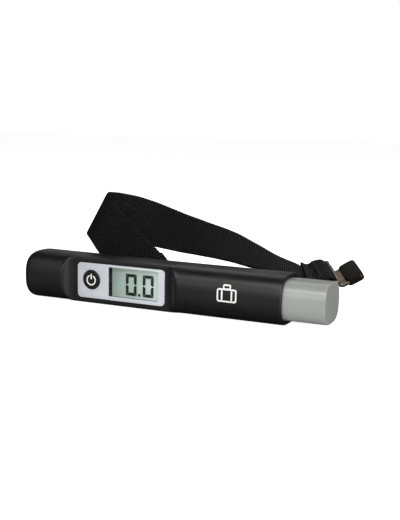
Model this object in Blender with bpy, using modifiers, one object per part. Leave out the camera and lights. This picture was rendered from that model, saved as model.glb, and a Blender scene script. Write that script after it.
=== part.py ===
"""Digital luggage scale: tube housing, display, load train, strap and hook.

Frame: metres, +X along the tube towards the battery drawer, -Y the display
side (front), +Y the strap side (back), +Z up. The origin lies on the narrow
flat under the tube, at mid-length. All dimensions below are millimetres
measured from the tube's own axis; place() turns them into scene metres.
"""
import math

import bmesh
import bpy
from mathutils import Matrix, Vector

MM = 0.001
X_AXIS, Y_AXIS, Z_AXIS = (1, 0, 0), (0, 1, 0), (0, 0, 1)

# ---- dimensions shared by several pieces ------------------------------------
AXIS_HEIGHT = 11.0        # tube axis above the resting flat
TUBE_AXIS = Vector((0.0, 0.0, AXIS_HEIGHT))
GAP = 0.3                 # clearance between neighbouring pieces
BEYOND = 20.0             # reach of cutters that must pass the tube's surface

PANEL_SIZE = (46.6, 16.8)
PANEL_CENTRE = (-23.5, 0.4)         # x, z
PANEL_FRONT_Y = -9.75
PANEL_BACK_Y = PANEL_FRONT_Y + 0.9
WINDOW_SIZE = (26.4, 13.9)
WINDOW_CENTRE = (-16.8, 0.7)        # x, z
LENS_SIZE = (WINDOW_SIZE[0] + 1.0, WINDOW_SIZE[1] + 0.8)
RECESS_INNER_Y = -7.3               # inner face of the wall behind the recess
BUTTON_X, BUTTON_Z = BUTTON_CENTRE = (-39.1, 0.85)
BUTTON_R = 4.7

BOARD_Y = (-2.6, -1.4)
BOARD_FRONT_SEAT = BOARD_Y[0] - GAP     # parts and posts in front of the board
BOARD_BACK_SEAT = BOARD_Y[1] + GAP      # parts behind it

# (x, z) of the posts that take screws
REAR_POSTS = [(x, z) for x in (-57.6, 41.0) for z in (6.0, -6.0)]
BOARD_POSTS = [(x, z) for x in (-47.5, 5.4) for z in (6.2, -6.2)]
BEAM_SCREWS_X = (12.6, 19.4)
LOAD_BLOCK_X = (9.4, 22.6)
COUNTERBORE_Y = 11.2                    # floor of the rear cover's counterbores

PIN = (-20.0, 8.0, 0.0)                 # middle of the load pin
SLOT_X, PIN_Y, _ = PIN                  # the strap slot is centred on the pin
PIN_R = 1.25
PIN_HOLE_R = PIN_R + GAP

WEB_WIDTH = 25.0
WEB_T = 1.5

# Hook frame: BAR is the bar the strap is folded on. HOOK_BAR_DIR runs along the
# bar, HOOK_OUT away from the strap and HOOK_UP square to the plate.
BAR = Vector((61.2, 34.3, 6.65))
HOOK_TILT = math.radians(8.8)
HOOK_BAR_DIR = Vector((0.477, -0.860, -0.180)).normalized()
HOOK_OUT = (Matrix.Rotation(HOOK_TILT, 3, HOOK_BAR_DIR)
            @ Vector(Z_AXIS).cross(HOOK_BAR_DIR).normalized())
HOOK_UP = HOOK_BAR_DIR.cross(HOOK_OUT)

# ---- scene ------------------------------------------------------------------
for old in list(bpy.data.objects):
    bpy.data.objects.remove(old, do_unlink=True)

parts = bpy.data.collections.new("luggage_scale")
cutters = bpy.data.collections.new("cutters")
bpy.context.scene.collection.children.link(parts)
bpy.context.scene.collection.children.link(cutters)


def material(name, colour, roughness, metallic=0.0, alpha=1.0):
    mat = bpy.data.materials.new(name)
    mat.use_nodes = True
    inputs = mat.node_tree.nodes["Principled BSDF"].inputs
    inputs["Base Color"].default_value = (*colour, 1.0)
    inputs["Roughness"].default_value = roughness
    inputs["Metallic"].default_value = metallic
    inputs["Alpha"].default_value = alpha
    return mat


BLACK = material("satin_black_abs", colour=(0.020, 0.020, 0.022), roughness=0.42)
SILVER = material("silver_panel", colour=(0.62, 0.63, 0.66), roughness=0.35, metallic=0.2)
GREY = material("grey_paint", colour=(0.40, 0.40, 0.40), roughness=0.30)
CLEAR = material("clear_acrylic", colour=(0.80, 0.85, 0.84), roughness=0.08, alpha=0.35)
LCD = material("lcd_glass", colour=(0.50, 0.60, 0.54), roughness=0.25)
BOARD = material("green_board", colour=(0.03, 0.16, 0.06), roughness=0.55)
RUBBER = material("grey_rubber", colour=(0.10, 0.10, 0.11), roughness=0.85)
EPOXY = material("black_epoxy", colour=(0.012, 0.012, 0.012), roughness=0.35)
STEEL = material("steel", colour=(0.55, 0.54, 0.52), roughness=0.35, metallic=1.0)
ALUMINIUM = material("aluminium", colour=(0.72, 0.73, 0.74), roughness=0.40, metallic=1.0)
WEBBING = material("black_webbing", colour=(0.022, 0.022, 0.024), roughness=0.90)
WHITE = material("white_plastic", colour=(0.75, 0.75, 0.73), roughness=0.5)
RED = material("red_insulation", colour=(0.50, 0.02, 0.02), roughness=0.5)
FOIL = material("gauge_film", colour=(0.55, 0.30, 0.08), roughness=0.5)


# ---- objects and booleans ---------------------------------------------------
def place(name, mesh, mat, pivot=(0.0, 0.0, 0.0), collection=parts, smooth=None):
    """Object from a mesh in axis millimetres, its origin on pivot.

    smooth is the angle in degrees above which edges stay sharp.
    """
    pivot = Vector(pivot)
    mesh.transform(Matrix.Scale(MM, 4) @ Matrix.Translation(-pivot))
    ob = bpy.data.objects.new(name, mesh)
    ob.location = (pivot + TUBE_AXIS) * MM
    collection.objects.link(ob)
    if mat is not None:
        mesh.materials.append(mat)
    if smooth is not None:
        mesh.shade_smooth()
        mesh.set_sharp_from_angle(angle=math.radians(smooth))
    return ob


def cutter(name, mesh):
    ob = place(name, mesh, None, collection=cutters)
    ob.hide_render = True
    ob.display_type = 'WIRE'
    return ob


def boolean(ob, other, operation):
    mod = ob.modifiers.new(operation.lower(), 'BOOLEAN')
    mod.operation = operation
    mod.solver = 'EXACT'
    mod.object = other


def cut(ob, name, mesh):
    boolean(ob, cutter(name, mesh), 'DIFFERENCE')


def join(ob, name, mesh):
    boolean(ob, cutter(name, mesh), 'UNION')


# ---- meshes -----------------------------------------------------------------
def as_bmesh(mesh):
    """Moves a mesh into a new bmesh."""
    bm = bmesh.new()
    bm.from_mesh(mesh)
    bpy.data.meshes.remove(mesh)
    return bm


def finished(bm):
    bmesh.ops.recalc_face_normals(bm, faces=bm.faces)
    mesh = bpy.data.meshes.new("mesh")
    bm.to_mesh(mesh)
    bm.free()
    return mesh


def baked(temp, matrix):
    """Mesh of a temporary object as evaluated at matrix; the object is removed."""
    bpy.context.scene.collection.objects.link(temp)
    temp.matrix_world = matrix
    bpy.context.view_layer.update()
    depsgraph = bpy.context.evaluated_depsgraph_get()
    mesh = bpy.data.meshes.new_from_object(temp.evaluated_get(depsgraph))
    world = temp.matrix_world.copy()
    bpy.data.objects.remove(temp, do_unlink=True)
    bm = as_bmesh(mesh)
    bmesh.ops.remove_doubles(bm, verts=bm.verts, dist=0.0001)
    bmesh.ops.transform(bm, matrix=world, verts=bm.verts)
    return finished(bm)


def block(low, high, bevel=0.0):
    """Box between two corners, with optional chamfered edges."""
    low, high = Vector(low), Vector(high)
    bm = bmesh.new()
    bmesh.ops.create_cube(bm, size=1.0)
    bmesh.ops.scale(bm, vec=high - low, verts=bm.verts)
    bmesh.ops.translate(bm, vec=(low + high) / 2, verts=bm.verts)
    if bevel:
        bmesh.ops.bevel(bm, geom=bm.edges[:], offset=bevel, segments=1,
                        affect='EDGES', profile=0.5)
    return finished(bm)


def turn_to(axis):
    """Rotation that brings +Z onto axis."""
    return Vector(Z_AXIS).rotation_difference(Vector(axis)).to_matrix().to_4x4()


def rod(start, end, radius, segments):
    """Cylinder between two points."""
    start, end = Vector(start), Vector(end)
    axis = end - start
    bm = bmesh.new()
    bmesh.ops.create_cone(
        bm, cap_ends=True, segments=segments, radius1=radius, radius2=radius,
        depth=axis.length,
        matrix=Matrix.Translation((start + end) / 2) @ turn_to(axis.normalized()))
    return finished(bm)


def rod_y(x, z, y0, y1, radius, segments):
    return rod((x, y0, z), (x, y1, z), radius, segments)


def frame(axis_x, axis_y, origin=(0, 0, 0)):
    """Matrix whose first two columns are the outline's own axes."""
    ex, ey = Vector(axis_x).normalized(), Vector(axis_y).normalized()
    matrix = Matrix((ex, ey, ex.cross(ey))).transposed().to_4x4()
    matrix.translation = Vector(origin)
    return matrix


def extruded(loops, start, end, matrix):
    """Flat outline (first loop) with holes (the others), from start to end
    along the third axis of matrix."""
    curve = bpy.data.curves.new("outline", 'CURVE')
    curve.dimensions = '2D'
    curve.fill_mode = 'BOTH'
    curve.extrude = abs(end - start) / 2
    curve.resolution_u = 1
    for loop in loops:
        line = curve.splines.new('POLY')
        line.points.add(len(loop) - 1)
        for point, (x, y) in zip(line.points, loop):
            point.co = (x, y, 0.0, 1.0)
        line.use_cyclic_u = True
    return baked(bpy.data.objects.new("outline", curve),
                 matrix @ Matrix.Translation((0, 0, (start + end) / 2)))


def along_x(loops, x0, x1):
    """Outlines in (y, z), extruded in X."""
    return extruded(loops, x0, x1, frame(Y_AXIS, Z_AXIS))


def along_y(loops, y0, y1):
    """Outlines in (x, z), extruded in Y; the frame's third axis is -Y."""
    return extruded(loops, -y0, -y1, frame(X_AXIS, Z_AXIS))


def along_z(loops, z0, z1):
    """Outlines in (x, y), extruded in Z."""
    return extruded(loops, z0, z1, frame(X_AXIS, Y_AXIS))


def wire(points, radius, resolution, matrix=Matrix.Identity(4)):
    """Round wire through the given points, capped at its ends."""
    curve = bpy.data.curves.new("wire", 'CURVE')
    curve.dimensions = '3D'
    curve.bevel_depth = radius
    curve.bevel_resolution = resolution
    curve.use_fill_caps = True
    line = curve.splines.new('POLY')
    line.points.add(len(points) - 1)
    for point, co in zip(line.points, points):
        point.co = (*co, 1.0)
    return baked(bpy.data.objects.new("wire", curve), matrix)


def turned(profile, origin, axis, steps):
    """Solid of revolution; profile = (radius, height along axis), top to bottom."""
    mesh = bpy.data.meshes.new("profile")
    edges = [(i, i + 1) for i in range(len(profile) - 1)]
    mesh.from_pydata([(r, 0.0, h) for r, h in profile], edges, [])
    temp = bpy.data.objects.new("profile", mesh)
    mod = temp.modifiers.new("turn", 'SCREW')
    mod.axis = 'Z'
    mod.steps = steps
    mod.use_merge_vertices = True
    mod.merge_threshold = 0.0001
    return baked(temp, Matrix.Translation(Vector(origin)) @ turn_to(axis))


def screw(x, z, head_y, tip_y, shank_r, head_r, head_h):
    """Pan-head screw driven in from the back (towards -Y)."""
    profile = [(0.0, head_y + head_h * 0.5), (head_r * 0.45, head_y + head_h),
               (head_r * 0.85, head_y + head_h), (head_r, head_y + head_h * 0.6),
               (head_r, head_y), (shank_r, head_y),
               (shank_r, tip_y + shank_r), (0.0, tip_y)]
    return turned(profile, (x, 0, z), Y_AXIS, 12)


def round_end(mesh, x, width, segments):
    """Rounds the edge loop that lies in the plane X = x."""
    bm = as_bmesh(mesh)
    ring = [e for e in bm.edges
            if all(abs(v.co.x - x) < 1e-4 for v in e.verts)
            and any(abs(f.normal.x) < 0.5 for f in e.link_faces)]
    bmesh.ops.bevel(bm, geom=ring, offset=width, segments=segments,
                    affect='EDGES', profile=0.5, clamp_overlap=True)
    return finished(bm)


# ---- outlines ---------------------------------------------------------------
SECTION_POWER = 3.0       # squareness of the tube's section; 2 is an ellipse


def section(half_h, half_d, count):
    """Rounded-square section (y, z) of the tube or drawer."""
    points = []
    for i in range(count):
        a = 2 * math.pi * (i + 0.5) / count
        c, s = math.cos(a), math.sin(a)
        points.append((half_d * math.copysign(abs(c) ** (2 / SECTION_POWER), c),
                       half_h * math.copysign(abs(s) ** (2 / SECTION_POWER), s)))
    return points


def rounded_rect(centre, size, radius, steps):
    points = []
    for side_x, side_y, start in ((1, 1, 0), (-1, 1, 90), (-1, -1, 180), (1, -1, 270)):
        x = centre[0] + side_x * (size[0] / 2 - radius)
        y = centre[1] + side_y * (size[1] / 2 - radius)
        for k in range(steps + 1):
            a = math.radians(start + 90 * k / steps)
            points.append((x + radius * math.cos(a), y + radius * math.sin(a)))
    return points


def circle(x, y, radius, count):
    angles = [2 * math.pi * k / count for k in range(count)]
    return [(x + radius * math.cos(a), y + radius * math.sin(a)) for a in angles]


def grown(size, extra):
    return (size[0] + extra, size[1] + extra)


# ---- housing ----------------------------------------------------------------
DOME_X = -77.0            # domed end
TUBE_END_X = 57.0         # open end
TUBE_HALF_H = 11.25       # section half height
TUBE_HALF_D = 12.9        # section half depth
WALL = 1.8
DOME_WALL = 2.0
END_ROUND = 4.6
INNER_END_ROUND = 3.2

FLAT_X = (-50.6, 3.0)     # floor of the display recess
FLAT_Y = -9.45
RECESS_RUN = 3.9          # length of the sloped recess ends
RECESS_DEPTH = TUBE_HALF_D + FLAT_Y
RECESS_WALL_REACH = 4.5   # the wall behind the recess runs on past its floor

BACK_X = (-62.5, 45.5)    # opening for the rear cover
BACK_Y = 5.5
SLOT_SIZE = (32.8, 10.0)

LOAD_BLOCK_Y = -0.9       # back face of the block that carries the beam
LOAD_BLOCK_HALF_H = 4.6

OPENING_Y = (-14.0, -5.2)       # reach of the cutters through the recess wall
BUTTON_HOLE_Y = (-15.0, -5.2)


def tube_outer():
    mesh = along_x([section(TUBE_HALF_H, TUBE_HALF_D, 48)], DOME_X, TUBE_END_X)
    return round_end(mesh, DOME_X, END_ROUND, 5)


def tube_inner():
    x0 = DOME_X + DOME_WALL
    mesh = along_x([section(TUBE_HALF_H - WALL, TUBE_HALF_D - WALL, 40)], x0, TUBE_END_X + 5.0)
    return round_end(mesh, x0, INNER_END_ROUND, 3)


def housing_cavity():
    """Cutter for the tube's hollow, less the walls and posts left standing."""
    cavity = cutter("cavity", tube_inner())
    cut(cavity, "recess_wall", block((FLAT_X[0] - RECESS_WALL_REACH, -BEYOND, -BEYOND),
                                     (FLAT_X[1] + RECESS_WALL_REACH, RECESS_INNER_Y, BEYOND)))
    for x, z in REAR_POSTS:
        cut(cavity, "rear_post", rod_y(x, z, -BEYOND, 10.1, 2.0, 20))
    for x, z in BOARD_POSTS:
        cut(cavity, "board_post", rod_y(x, z, -BEYOND, BOARD_FRONT_SEAT, 1.9, 20))
    cut(cavity, "load_block", block((LOAD_BLOCK_X[0], -BEYOND, -LOAD_BLOCK_HALF_H),
                                    (LOAD_BLOCK_X[1], LOAD_BLOCK_Y, LOAD_BLOCK_HALF_H)))
    return cavity


def front_shell():
    front = place("front_shell", tube_outer(), BLACK, smooth=35)
    boolean(front, housing_cavity(), 'DIFFERENCE')

    # the slopes run on to twice the recess depth, clear of the tube
    outer_y = FLAT_Y - 2 * RECESS_DEPTH
    recess = [(FLAT_X[0], FLAT_Y), (FLAT_X[1], FLAT_Y),
              (FLAT_X[1] + 2 * RECESS_RUN, outer_y), (FLAT_X[0] - 2 * RECESS_RUN, outer_y)]
    cut(front, "recess", along_z([recess], -BEYOND, BEYOND))
    cut(front, "back_opening",
        block((BACK_X[0], BACK_Y, -BEYOND), (BACK_X[1], BEYOND, BEYOND)))
    cut(front, "panel_pocket",
        along_y([rounded_rect(PANEL_CENTRE, grown(PANEL_SIZE, 2 * GAP), 2.2, 4)],
                OPENING_Y[0], PANEL_BACK_Y + GAP))
    cut(front, "window_opening",
        along_y([rounded_rect(WINDOW_CENTRE, grown(LENS_SIZE, 2 * GAP), 0.8, 2)], *OPENING_Y))
    cut(front, "button_hole", rod_y(*BUTTON_CENTRE, *BUTTON_HOLE_Y, BUTTON_R + GAP, 32))

    for x, z in REAR_POSTS:
        cut(front, "pilot", rod_y(x, z, 3.4, BEYOND, 1.2, 12))
    for x, z in BOARD_POSTS:
        cut(front, "pilot", rod_y(x, z, -6.4, 0, 1.05, 12))
    for x in BEAM_SCREWS_X:
        cut(front, "pilot", rod_y(x, 0, -7.0, 3, 1.5, 16))
    cut(front, "rest_flat", block((DOME_X - 3, -BEYOND, -BEYOND),
                                  (TUBE_END_X + 3, BEYOND, -AXIS_HEIGHT)))


def rear_cover():
    rear = place("rear_cover", tube_outer(), BLACK, smooth=35)
    piece = block((BACK_X[0] + GAP, BACK_Y + GAP, -BEYOND), (BACK_X[1] - GAP, BEYOND, BEYOND))
    boolean(rear, cutter("back_piece", piece), 'INTERSECT')
    cut(rear, "back_cavity", tube_inner())
    cut(rear, "strap_slot", along_y([rounded_rect((SLOT_X, 0), SLOT_SIZE, 3.0, 5)], 5, BEYOND))
    for x, z in REAR_POSTS:
        cut(rear, "clearance", rod_y(x, z, 5, BEYOND, 1.2, 12))
        cut(rear, "counterbore", rod_y(x, z, COUNTERBORE_Y, BEYOND, 2.0, 20))


def housing_screws():
    for k, (x, z) in enumerate(REAR_POSTS, 1):
        mesh = screw(x, z, head_y=COUNTERBORE_Y + GAP, tip_y=4.0,
                     shank_r=0.9, head_r=1.7, head_h=0.9)
        place(f"housing_screw_{k}", mesh, STEEL, smooth=40)


# ---- display panel, button and switch ---------------------------------------
LCD_FRAME_CENTRE = (-16.6, 0.0)
STEM_R = 1.5              # button stem and switch plunger
STEM_BACK_Y = -6.0        # back end of the button's stem
PLUNGER_FRONT_Y = STEM_BACK_Y + GAP
BUTTON_FRONT_Y = -10.05


def display():
    """Bezel, lens, LCD glass in its frame, and the rubber strip below the glass."""
    place("display_bezel",
          along_y([rounded_rect(PANEL_CENTRE, PANEL_SIZE, 2.0, 5),
                   rounded_rect(WINDOW_CENTRE, WINDOW_SIZE, 0.35, 2),
                   circle(*BUTTON_CENTRE, BUTTON_R + GAP, 36)],
                  PANEL_FRONT_Y, PANEL_BACK_Y), SILVER)
    place("lcd_lens",
          along_y([rounded_rect(WINDOW_CENTRE, LENS_SIZE, 0.5, 2)], -8.5, -7.5), CLEAR)
    place("lcd_glass", block((-31.2, -6.9, -6.8), (-2.0, -5.3, 8.4), bevel=0.15), LCD)
    place("lcd_frame",
          along_y([rounded_rect(LCD_FRAME_CENTRE, (31.0, 16.4), 0.8, 2),
                   rounded_rect(LCD_FRAME_CENTRE, (27.0, 13.2), 0.5, 2)],
                  -5.0, BOARD_FRONT_SEAT), WHITE)
    place("zebra_connector",
          block((-29.4, -5.0, -6.2), (-3.8, BOARD_FRONT_SEAT, -4.6)), RUBBER)


def button():
    """The disc runs through panel and wall; its flange stays inside."""
    flange_r, flange_back_y, flange_front_y = 5.6, -6.4, RECESS_INNER_Y + GAP
    profile = [(0.0, STEM_BACK_Y), (STEM_R, STEM_BACK_Y),
               (STEM_R, flange_back_y), (flange_r, flange_back_y),
               (flange_r, flange_front_y), (BUTTON_R, flange_front_y),
               (BUTTON_R, PANEL_FRONT_Y), (BUTTON_R - 0.35, BUTTON_FRONT_Y),
               (0.0, BUTTON_FRONT_Y)]
    place("unit_tare_button", turned(profile, (BUTTON_X, 0, BUTTON_Z), Y_AXIS, 36),
          BLACK, pivot=(BUTTON_X, PANEL_FRONT_Y, BUTTON_Z), smooth=30)


def tact_switch():
    back_y, chamfer = -4.2, 0.2
    profile = [(0.0, back_y), (STEM_R, back_y), (STEM_R, PLUNGER_FRONT_Y + chamfer),
               (STEM_R - chamfer, PLUNGER_FRONT_Y), (0.0, PLUNGER_FRONT_Y)]
    place("switch_plunger", turned(profile, (BUTTON_X, 0, BUTTON_Z), Y_AXIS, 20),
          EPOXY, pivot=(BUTTON_X, PLUNGER_FRONT_Y, BUTTON_Z), smooth=30)
    half = 3
    body = block((BUTTON_X - half, -5.0, BUTTON_Z - half),
                 (BUTTON_X + half, BOARD_FRONT_SEAT, BUTTON_Z + half), bevel=0.25)
    switch = place("tact_switch", body, STEEL)
    cut(switch, "bore", rod_y(*BUTTON_CENTRE, -6, -3.7, 1.85, 20))


# ---- electronics ------------------------------------------------------------
def circuit_board():
    holes = [circle(x, z, 1.1, 12) for x, z in BOARD_POSTS]
    place("circuit_board",
          along_y([rounded_rect((-21.0, 0.0), (58.6, 16.6), 1.0, 2)] + holes, *BOARD_Y), BOARD)
    for k, (x, z) in enumerate(BOARD_POSTS, 1):
        mesh = screw(x, z, head_y=BOARD_BACK_SEAT, tip_y=-6.0,
                     shank_r=0.75, head_r=1.5, head_h=0.8)
        place(f"board_screw_{k}", mesh, STEEL, smooth=40)


def controller_chip():
    """Low domed blob on the back of the board."""
    dome = [(0.0, 0.4), (1.8, 0.25), (3.0, -0.3), (3.4, BOARD_BACK_SEAT), (0.0, BOARD_BACK_SEAT)]
    place("controller_chip", turned(dome, (-38.6, 0, 0.0), Y_AXIS, 20), EPOXY, smooth=40)


# ---- load train -------------------------------------------------------------
BEAM_Y = 1.3
BEAM_SIZE = (48.0, 3.8)                 # x, y
BEAM_SEAT = BEAM_Y + BEAM_SIZE[1] / 2 + GAP     # parts behind the beam
SCREW_HOLE_R = 1.5

ARM_X = 16.0              # inner face of the shackle arms, from the slot's middle
ARM_T = 1.2
ARM_END_Y = 10.6
SHACKLE_BASE_T = 1.0

BAIL_DROP = math.radians(20)
BAIL_LENGTH = 16.5
BAIL_X = 14.2             # leg centre lines, from the slot's middle
BAIL_LEG_START = 2.2
BAIL_CORNER_R = 3.0
BAIL_WIRE_R = 1.1


def load_cell():
    """Bending beam: fixed at its +X end, strap load on its -X end."""
    loops = [rounded_rect((-2.0, BEAM_Y), BEAM_SIZE, 0.4, 1),
             rounded_rect((4.6, BEAM_Y), (6.0, 2.0), 0.95, 4)]
    beam = place("load_cell", along_z(loops, -4.0, 4.0), ALUMINIUM)
    for x in (*BEAM_SCREWS_X, SLOT_X):
        cut(beam, "screw_hole", rod_y(x, 0, -3, 6, SCREW_HOLE_R, 16))
    for k, x in enumerate(BEAM_SCREWS_X, 1):
        mesh = screw(x, 0, head_y=BEAM_SEAT, tip_y=-6.6, shank_r=1.2, head_r=2.3, head_h=1.4)
        place(f"load_cell_screw_{k}", mesh, STEEL, smooth=40)
    place("strain_gauge", block((1.6, BEAM_SEAT, -1.6), (7.6, 3.8, 1.6)), FOIL)


def load_shackle():
    """U of sheet steel; its arms hold the pin outside the webbing."""
    outer, base_y = ARM_X + ARM_T, BEAM_SEAT + SHACKLE_BASE_T
    points = [(-outer, ARM_END_Y), (-outer, BEAM_SEAT), (outer, BEAM_SEAT), (outer, ARM_END_Y),
              (ARM_X, ARM_END_Y), (ARM_X, base_y), (-ARM_X, base_y), (-ARM_X, ARM_END_Y)]
    shackle = place("load_shackle",
                    along_z([[(SLOT_X + x, y) for x, y in points]], -3.0, 3.0), STEEL)
    cut(shackle, "screw_hole", rod_y(SLOT_X, 0, 0, 8, SCREW_HOLE_R, 16))
    cut(shackle, "pin_hole",
        rod((SLOT_X - 25, PIN_Y, 0), (SLOT_X + 25, PIN_Y, 0), PIN_HOLE_R, 20))


def shackle_screw():
    """Flat-headed; its tip ends just inside the shackle base, clear of the webbing."""
    profile = [(0.0, 4.4), (1.2, 4.4), (1.2, -0.9), (2.2, -0.9), (2.2, -1.1), (0.0, -1.1)]
    place("shackle_screw", turned(profile, (SLOT_X, 0, 0), Y_AXIS, 20), STEEL, smooth=40)


def load_pin():
    """Pin along X with a head at each end."""
    half = [(0.0, 18.1), (1.7, 18.1), (1.9, 17.9), (1.9, 17.5), (PIN_R, 17.5)]
    profile = half + [(r, -h) for r, h in reversed(half)]
    place("load_pin", turned(profile, PIN, X_AXIS, 24), STEEL, pivot=PIN, smooth=40)


def catch_bail():
    """Wire loop with an eye at each leg, hanging from the load pin."""
    points = [(-BAIL_X, BAIL_LEG_START, 0.0)]
    corner_y = BAIL_LENGTH - BAIL_CORNER_R
    for corner_x, start in ((-BAIL_X + BAIL_CORNER_R, 180), (BAIL_X - BAIL_CORNER_R, 90)):
        for k in range(5):
            a = math.radians(start - 22.5 * k)
            points.append((corner_x + BAIL_CORNER_R * math.cos(a),
                           corner_y + BAIL_CORNER_R * math.sin(a), 0.0))
    points.append((BAIL_X, BAIL_LEG_START, 0.0))
    hanging = frame(X_AXIS, (0, math.cos(BAIL_DROP), -math.sin(BAIL_DROP)), PIN)
    bail = place("catch_bail", wire(points, BAIL_WIRE_R, 2, hanging), STEEL,
                 pivot=PIN, smooth=50)
    for side in (-1, 1):
        x = SLOT_X + side * BAIL_X
        join(bail, "eye", along_x([circle(PIN_Y, 0, 2.9, 20), circle(PIN_Y, 0, PIN_HOLE_R, 20)],
                                  x - BAIL_WIRE_R, x + BAIL_WIRE_R))


# ---- strap ------------------------------------------------------------------
LAYER_PITCH = WEB_T + GAP                       # between touching layers
PIN_FOLD_R = PIN_HOLE_R + 0.05 + WEB_T / 2      # centre line round the pin
BAR_FOLD_R = 1.37 + WEB_T / 2                   # centre line round the hook bar
BAR_FOLD_CENTRE = BAR + HOOK_OUT * 0.6
STRAP_STEP = 2.2          # spacing of the cross rows
SPAN_SAMPLES = 40         # spline samples between stations
FOLD_STEPS = 7
EASE_LENGTH = 6.0         # run over which a folded layer closes up

# centre line (x, y, z) and width direction of the webbing, from pin to hook
STATIONS = [
    ((SLOT_X, PIN_Y, PIN_FOLD_R), (1, 0, 0)),
    ((SLOT_X, 12.2, 2.0), (1, 0, 0)),
    ((SLOT_X - 2.2, 15.6, 2.9), (0.96, 0, 0.26)),
    ((-30.2, 17.4, 7.6), (0.76, 0, 0.65)),
    ((-37.3, 17.9, 12.8), (0.66, 0, 0.75)),
    ((-44.5, 18.0, 19.2), (0.60, 0, 0.80)),
    ((-50.3, 18.3, 25.7), (0.54, 0, 0.84)),
    ((-54.4, 20.6, 28.9), (0.50, 0, 0.87)),
    ((-52.6, 25.8, 28.2), (0.36, 0.14, 0.92)),
    ((-47.0, 29.6, 27.0), (0.15, 0.30, 0.94)),
    ((-38.5, 30.9, 26.0), (0.02, 0.44, 0.90)),
    ((-26.0, 31.4, 24.0), (-0.10, 0.60, 0.79)),
    ((-11.0, 31.2, 21.0), (-0.227, 0.704, 0.676)),
    ((2.2, 31.0, 18.8), (-0.247, 0.797, 0.554)),
    ((15.0, 31.2, 16.3), (-0.25, 0.86, 0.45)),
    ((27.7, 31.2, 12.6), (-0.27, 0.91, 0.31)),
    ((39.5, 30.7, 9.6), (-0.33, 0.93, 0.16)),
    ((48.6, 30.5, 7.3), (-0.38, 0.92, 0.13)),
]


def spline(points, t):
    """Catmull-Rom through the given vectors."""
    i = min(int(t), len(points) - 2)
    u = t - i
    p1, p2 = points[i], points[i + 1]
    p0 = points[i - 1] if i else p1 * 2 - p2
    p3 = points[i + 2] if i + 2 < len(points) else p2 * 2 - p1
    return 0.5 * ((p1 * 2) + (p2 - p0) * u + (p0 * 2 - p1 * 5 + p2 * 4 - p3) * u * u
                  + (p1 * 3 - p0 - p2 * 3 + p3) * u ** 3)


def even_rows(centres, widths):
    """Walks the spline in nearly even steps: list of (centre, width direction)."""
    sample_count = SPAN_SAMPLES * (len(centres) - 1)
    samples = [spline(centres, k / SPAN_SAMPLES) for k in range(sample_count + 1)]
    run = [0.0]
    for a, b in zip(samples, samples[1:]):
        run.append(run[-1] + (b - a).length)
    count = int(round(run[-1] / STRAP_STEP))
    rows = []
    j = 0
    for k in range(count + 1):
        want = run[-1] * k / count
        while j < len(run) - 2 and run[j + 1] < want:
            j += 1
        t = (j + (want - run[j]) / max(run[j + 1] - run[j], 1e-9)) / SPAN_SAMPLES
        rows.append((spline(centres, t), spline(widths, t).normalized()))
    return rows


def with_normals(rows):
    """Adds the webbing's normal to each row: (centre, width, normal)."""
    out = []
    for k, (centre, width) in enumerate(rows):
        before = rows[max(k - 1, 0)][0]
        after = rows[min(k + 1, len(rows) - 1)][0]
        out.append((centre, width, (after - before).normalized().cross(width).normalized()))
    return out


def folded_layer(rows, fold_r, length, hold):
    """Layer folded back on the main one, walking away from the fold.

    It keeps the fold's spacing for hold, then closes until the layers touch.
    """
    out = []
    distance = 0.0
    for k, (centre, width, normal) in enumerate(rows):
        if k:
            distance += (centre - rows[k - 1][0]).length
        if distance > length:
            break
        ease = min(max(distance - hold, 0.0) / EASE_LENGTH, 1.0)
        ease = ease * ease * (3 - 2 * ease)
        spacing = 2 * fold_r + (LAYER_PITCH - 2 * fold_r) * ease
        out.append((centre + normal * spacing, width))
    return out


def half_turn(centre, start, bulge, radius, width):
    """Rows round a fold, from the start direction through the bulge direction."""
    angles = [math.pi * k / FOLD_STEPS for k in range(1, FOLD_STEPS)]
    return [(centre + (bulge * math.sin(a) + start * math.cos(a)) * radius, width)
            for a in angles]


def strap_rows():
    end = BAR_FOLD_CENTRE - HOOK_UP * BAR_FOLD_R
    centres = [Vector(centre) for centre, _ in STATIONS]
    centres += [end - HOOK_OUT * 5.5 + HOOK_UP * 0.1, end]
    widths = [Vector(width).normalized() for _, width in STATIONS]
    widths += [-HOOK_BAR_DIR, -HOOK_BAR_DIR]
    main = even_rows(centres, widths)
    full = with_normals(main)
    pin_end = folded_layer(full, PIN_FOLD_R, length=15.0, hold=1.2)
    hook_end = folded_layer(full[::-1], BAR_FOLD_R, length=12.0, hold=3.0)
    pin_fold = half_turn(Vector(PIN), Vector((0, 0, -1)), Vector((0, -1, 0)),
                         PIN_FOLD_R, Vector(X_AXIS))
    bar_fold = half_turn(BAR_FOLD_CENTRE, -HOOK_UP, HOOK_OUT, BAR_FOLD_R, -HOOK_BAR_DIR)
    return pin_end[::-1] + pin_fold + main + bar_fold + hook_end


def ribbon(rows):
    """Open ribbon, two faces wide, along the rows."""
    bm = bmesh.new()
    lines = [[bm.verts.new(centre + width * (WEB_WIDTH * f)) for f in (0.5, 0.0, -0.5)]
             for centre, width in rows]
    for a, b in zip(lines, lines[1:]):
        for i in range(2):
            bm.faces.new((a[i], b[i], b[i + 1], a[i + 1]))
    mesh = bpy.data.meshes.new("webbing")
    bm.to_mesh(mesh)
    bm.free()
    return mesh


def strap():
    ob = place("strap", ribbon(strap_rows()), WEBBING, pivot=PIN, smooth=40)
    mod = ob.modifiers.new("thickness", 'SOLIDIFY')
    mod.thickness = WEB_T * MM
    mod.offset = 0.0
    mod.use_even_offset = True


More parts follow.
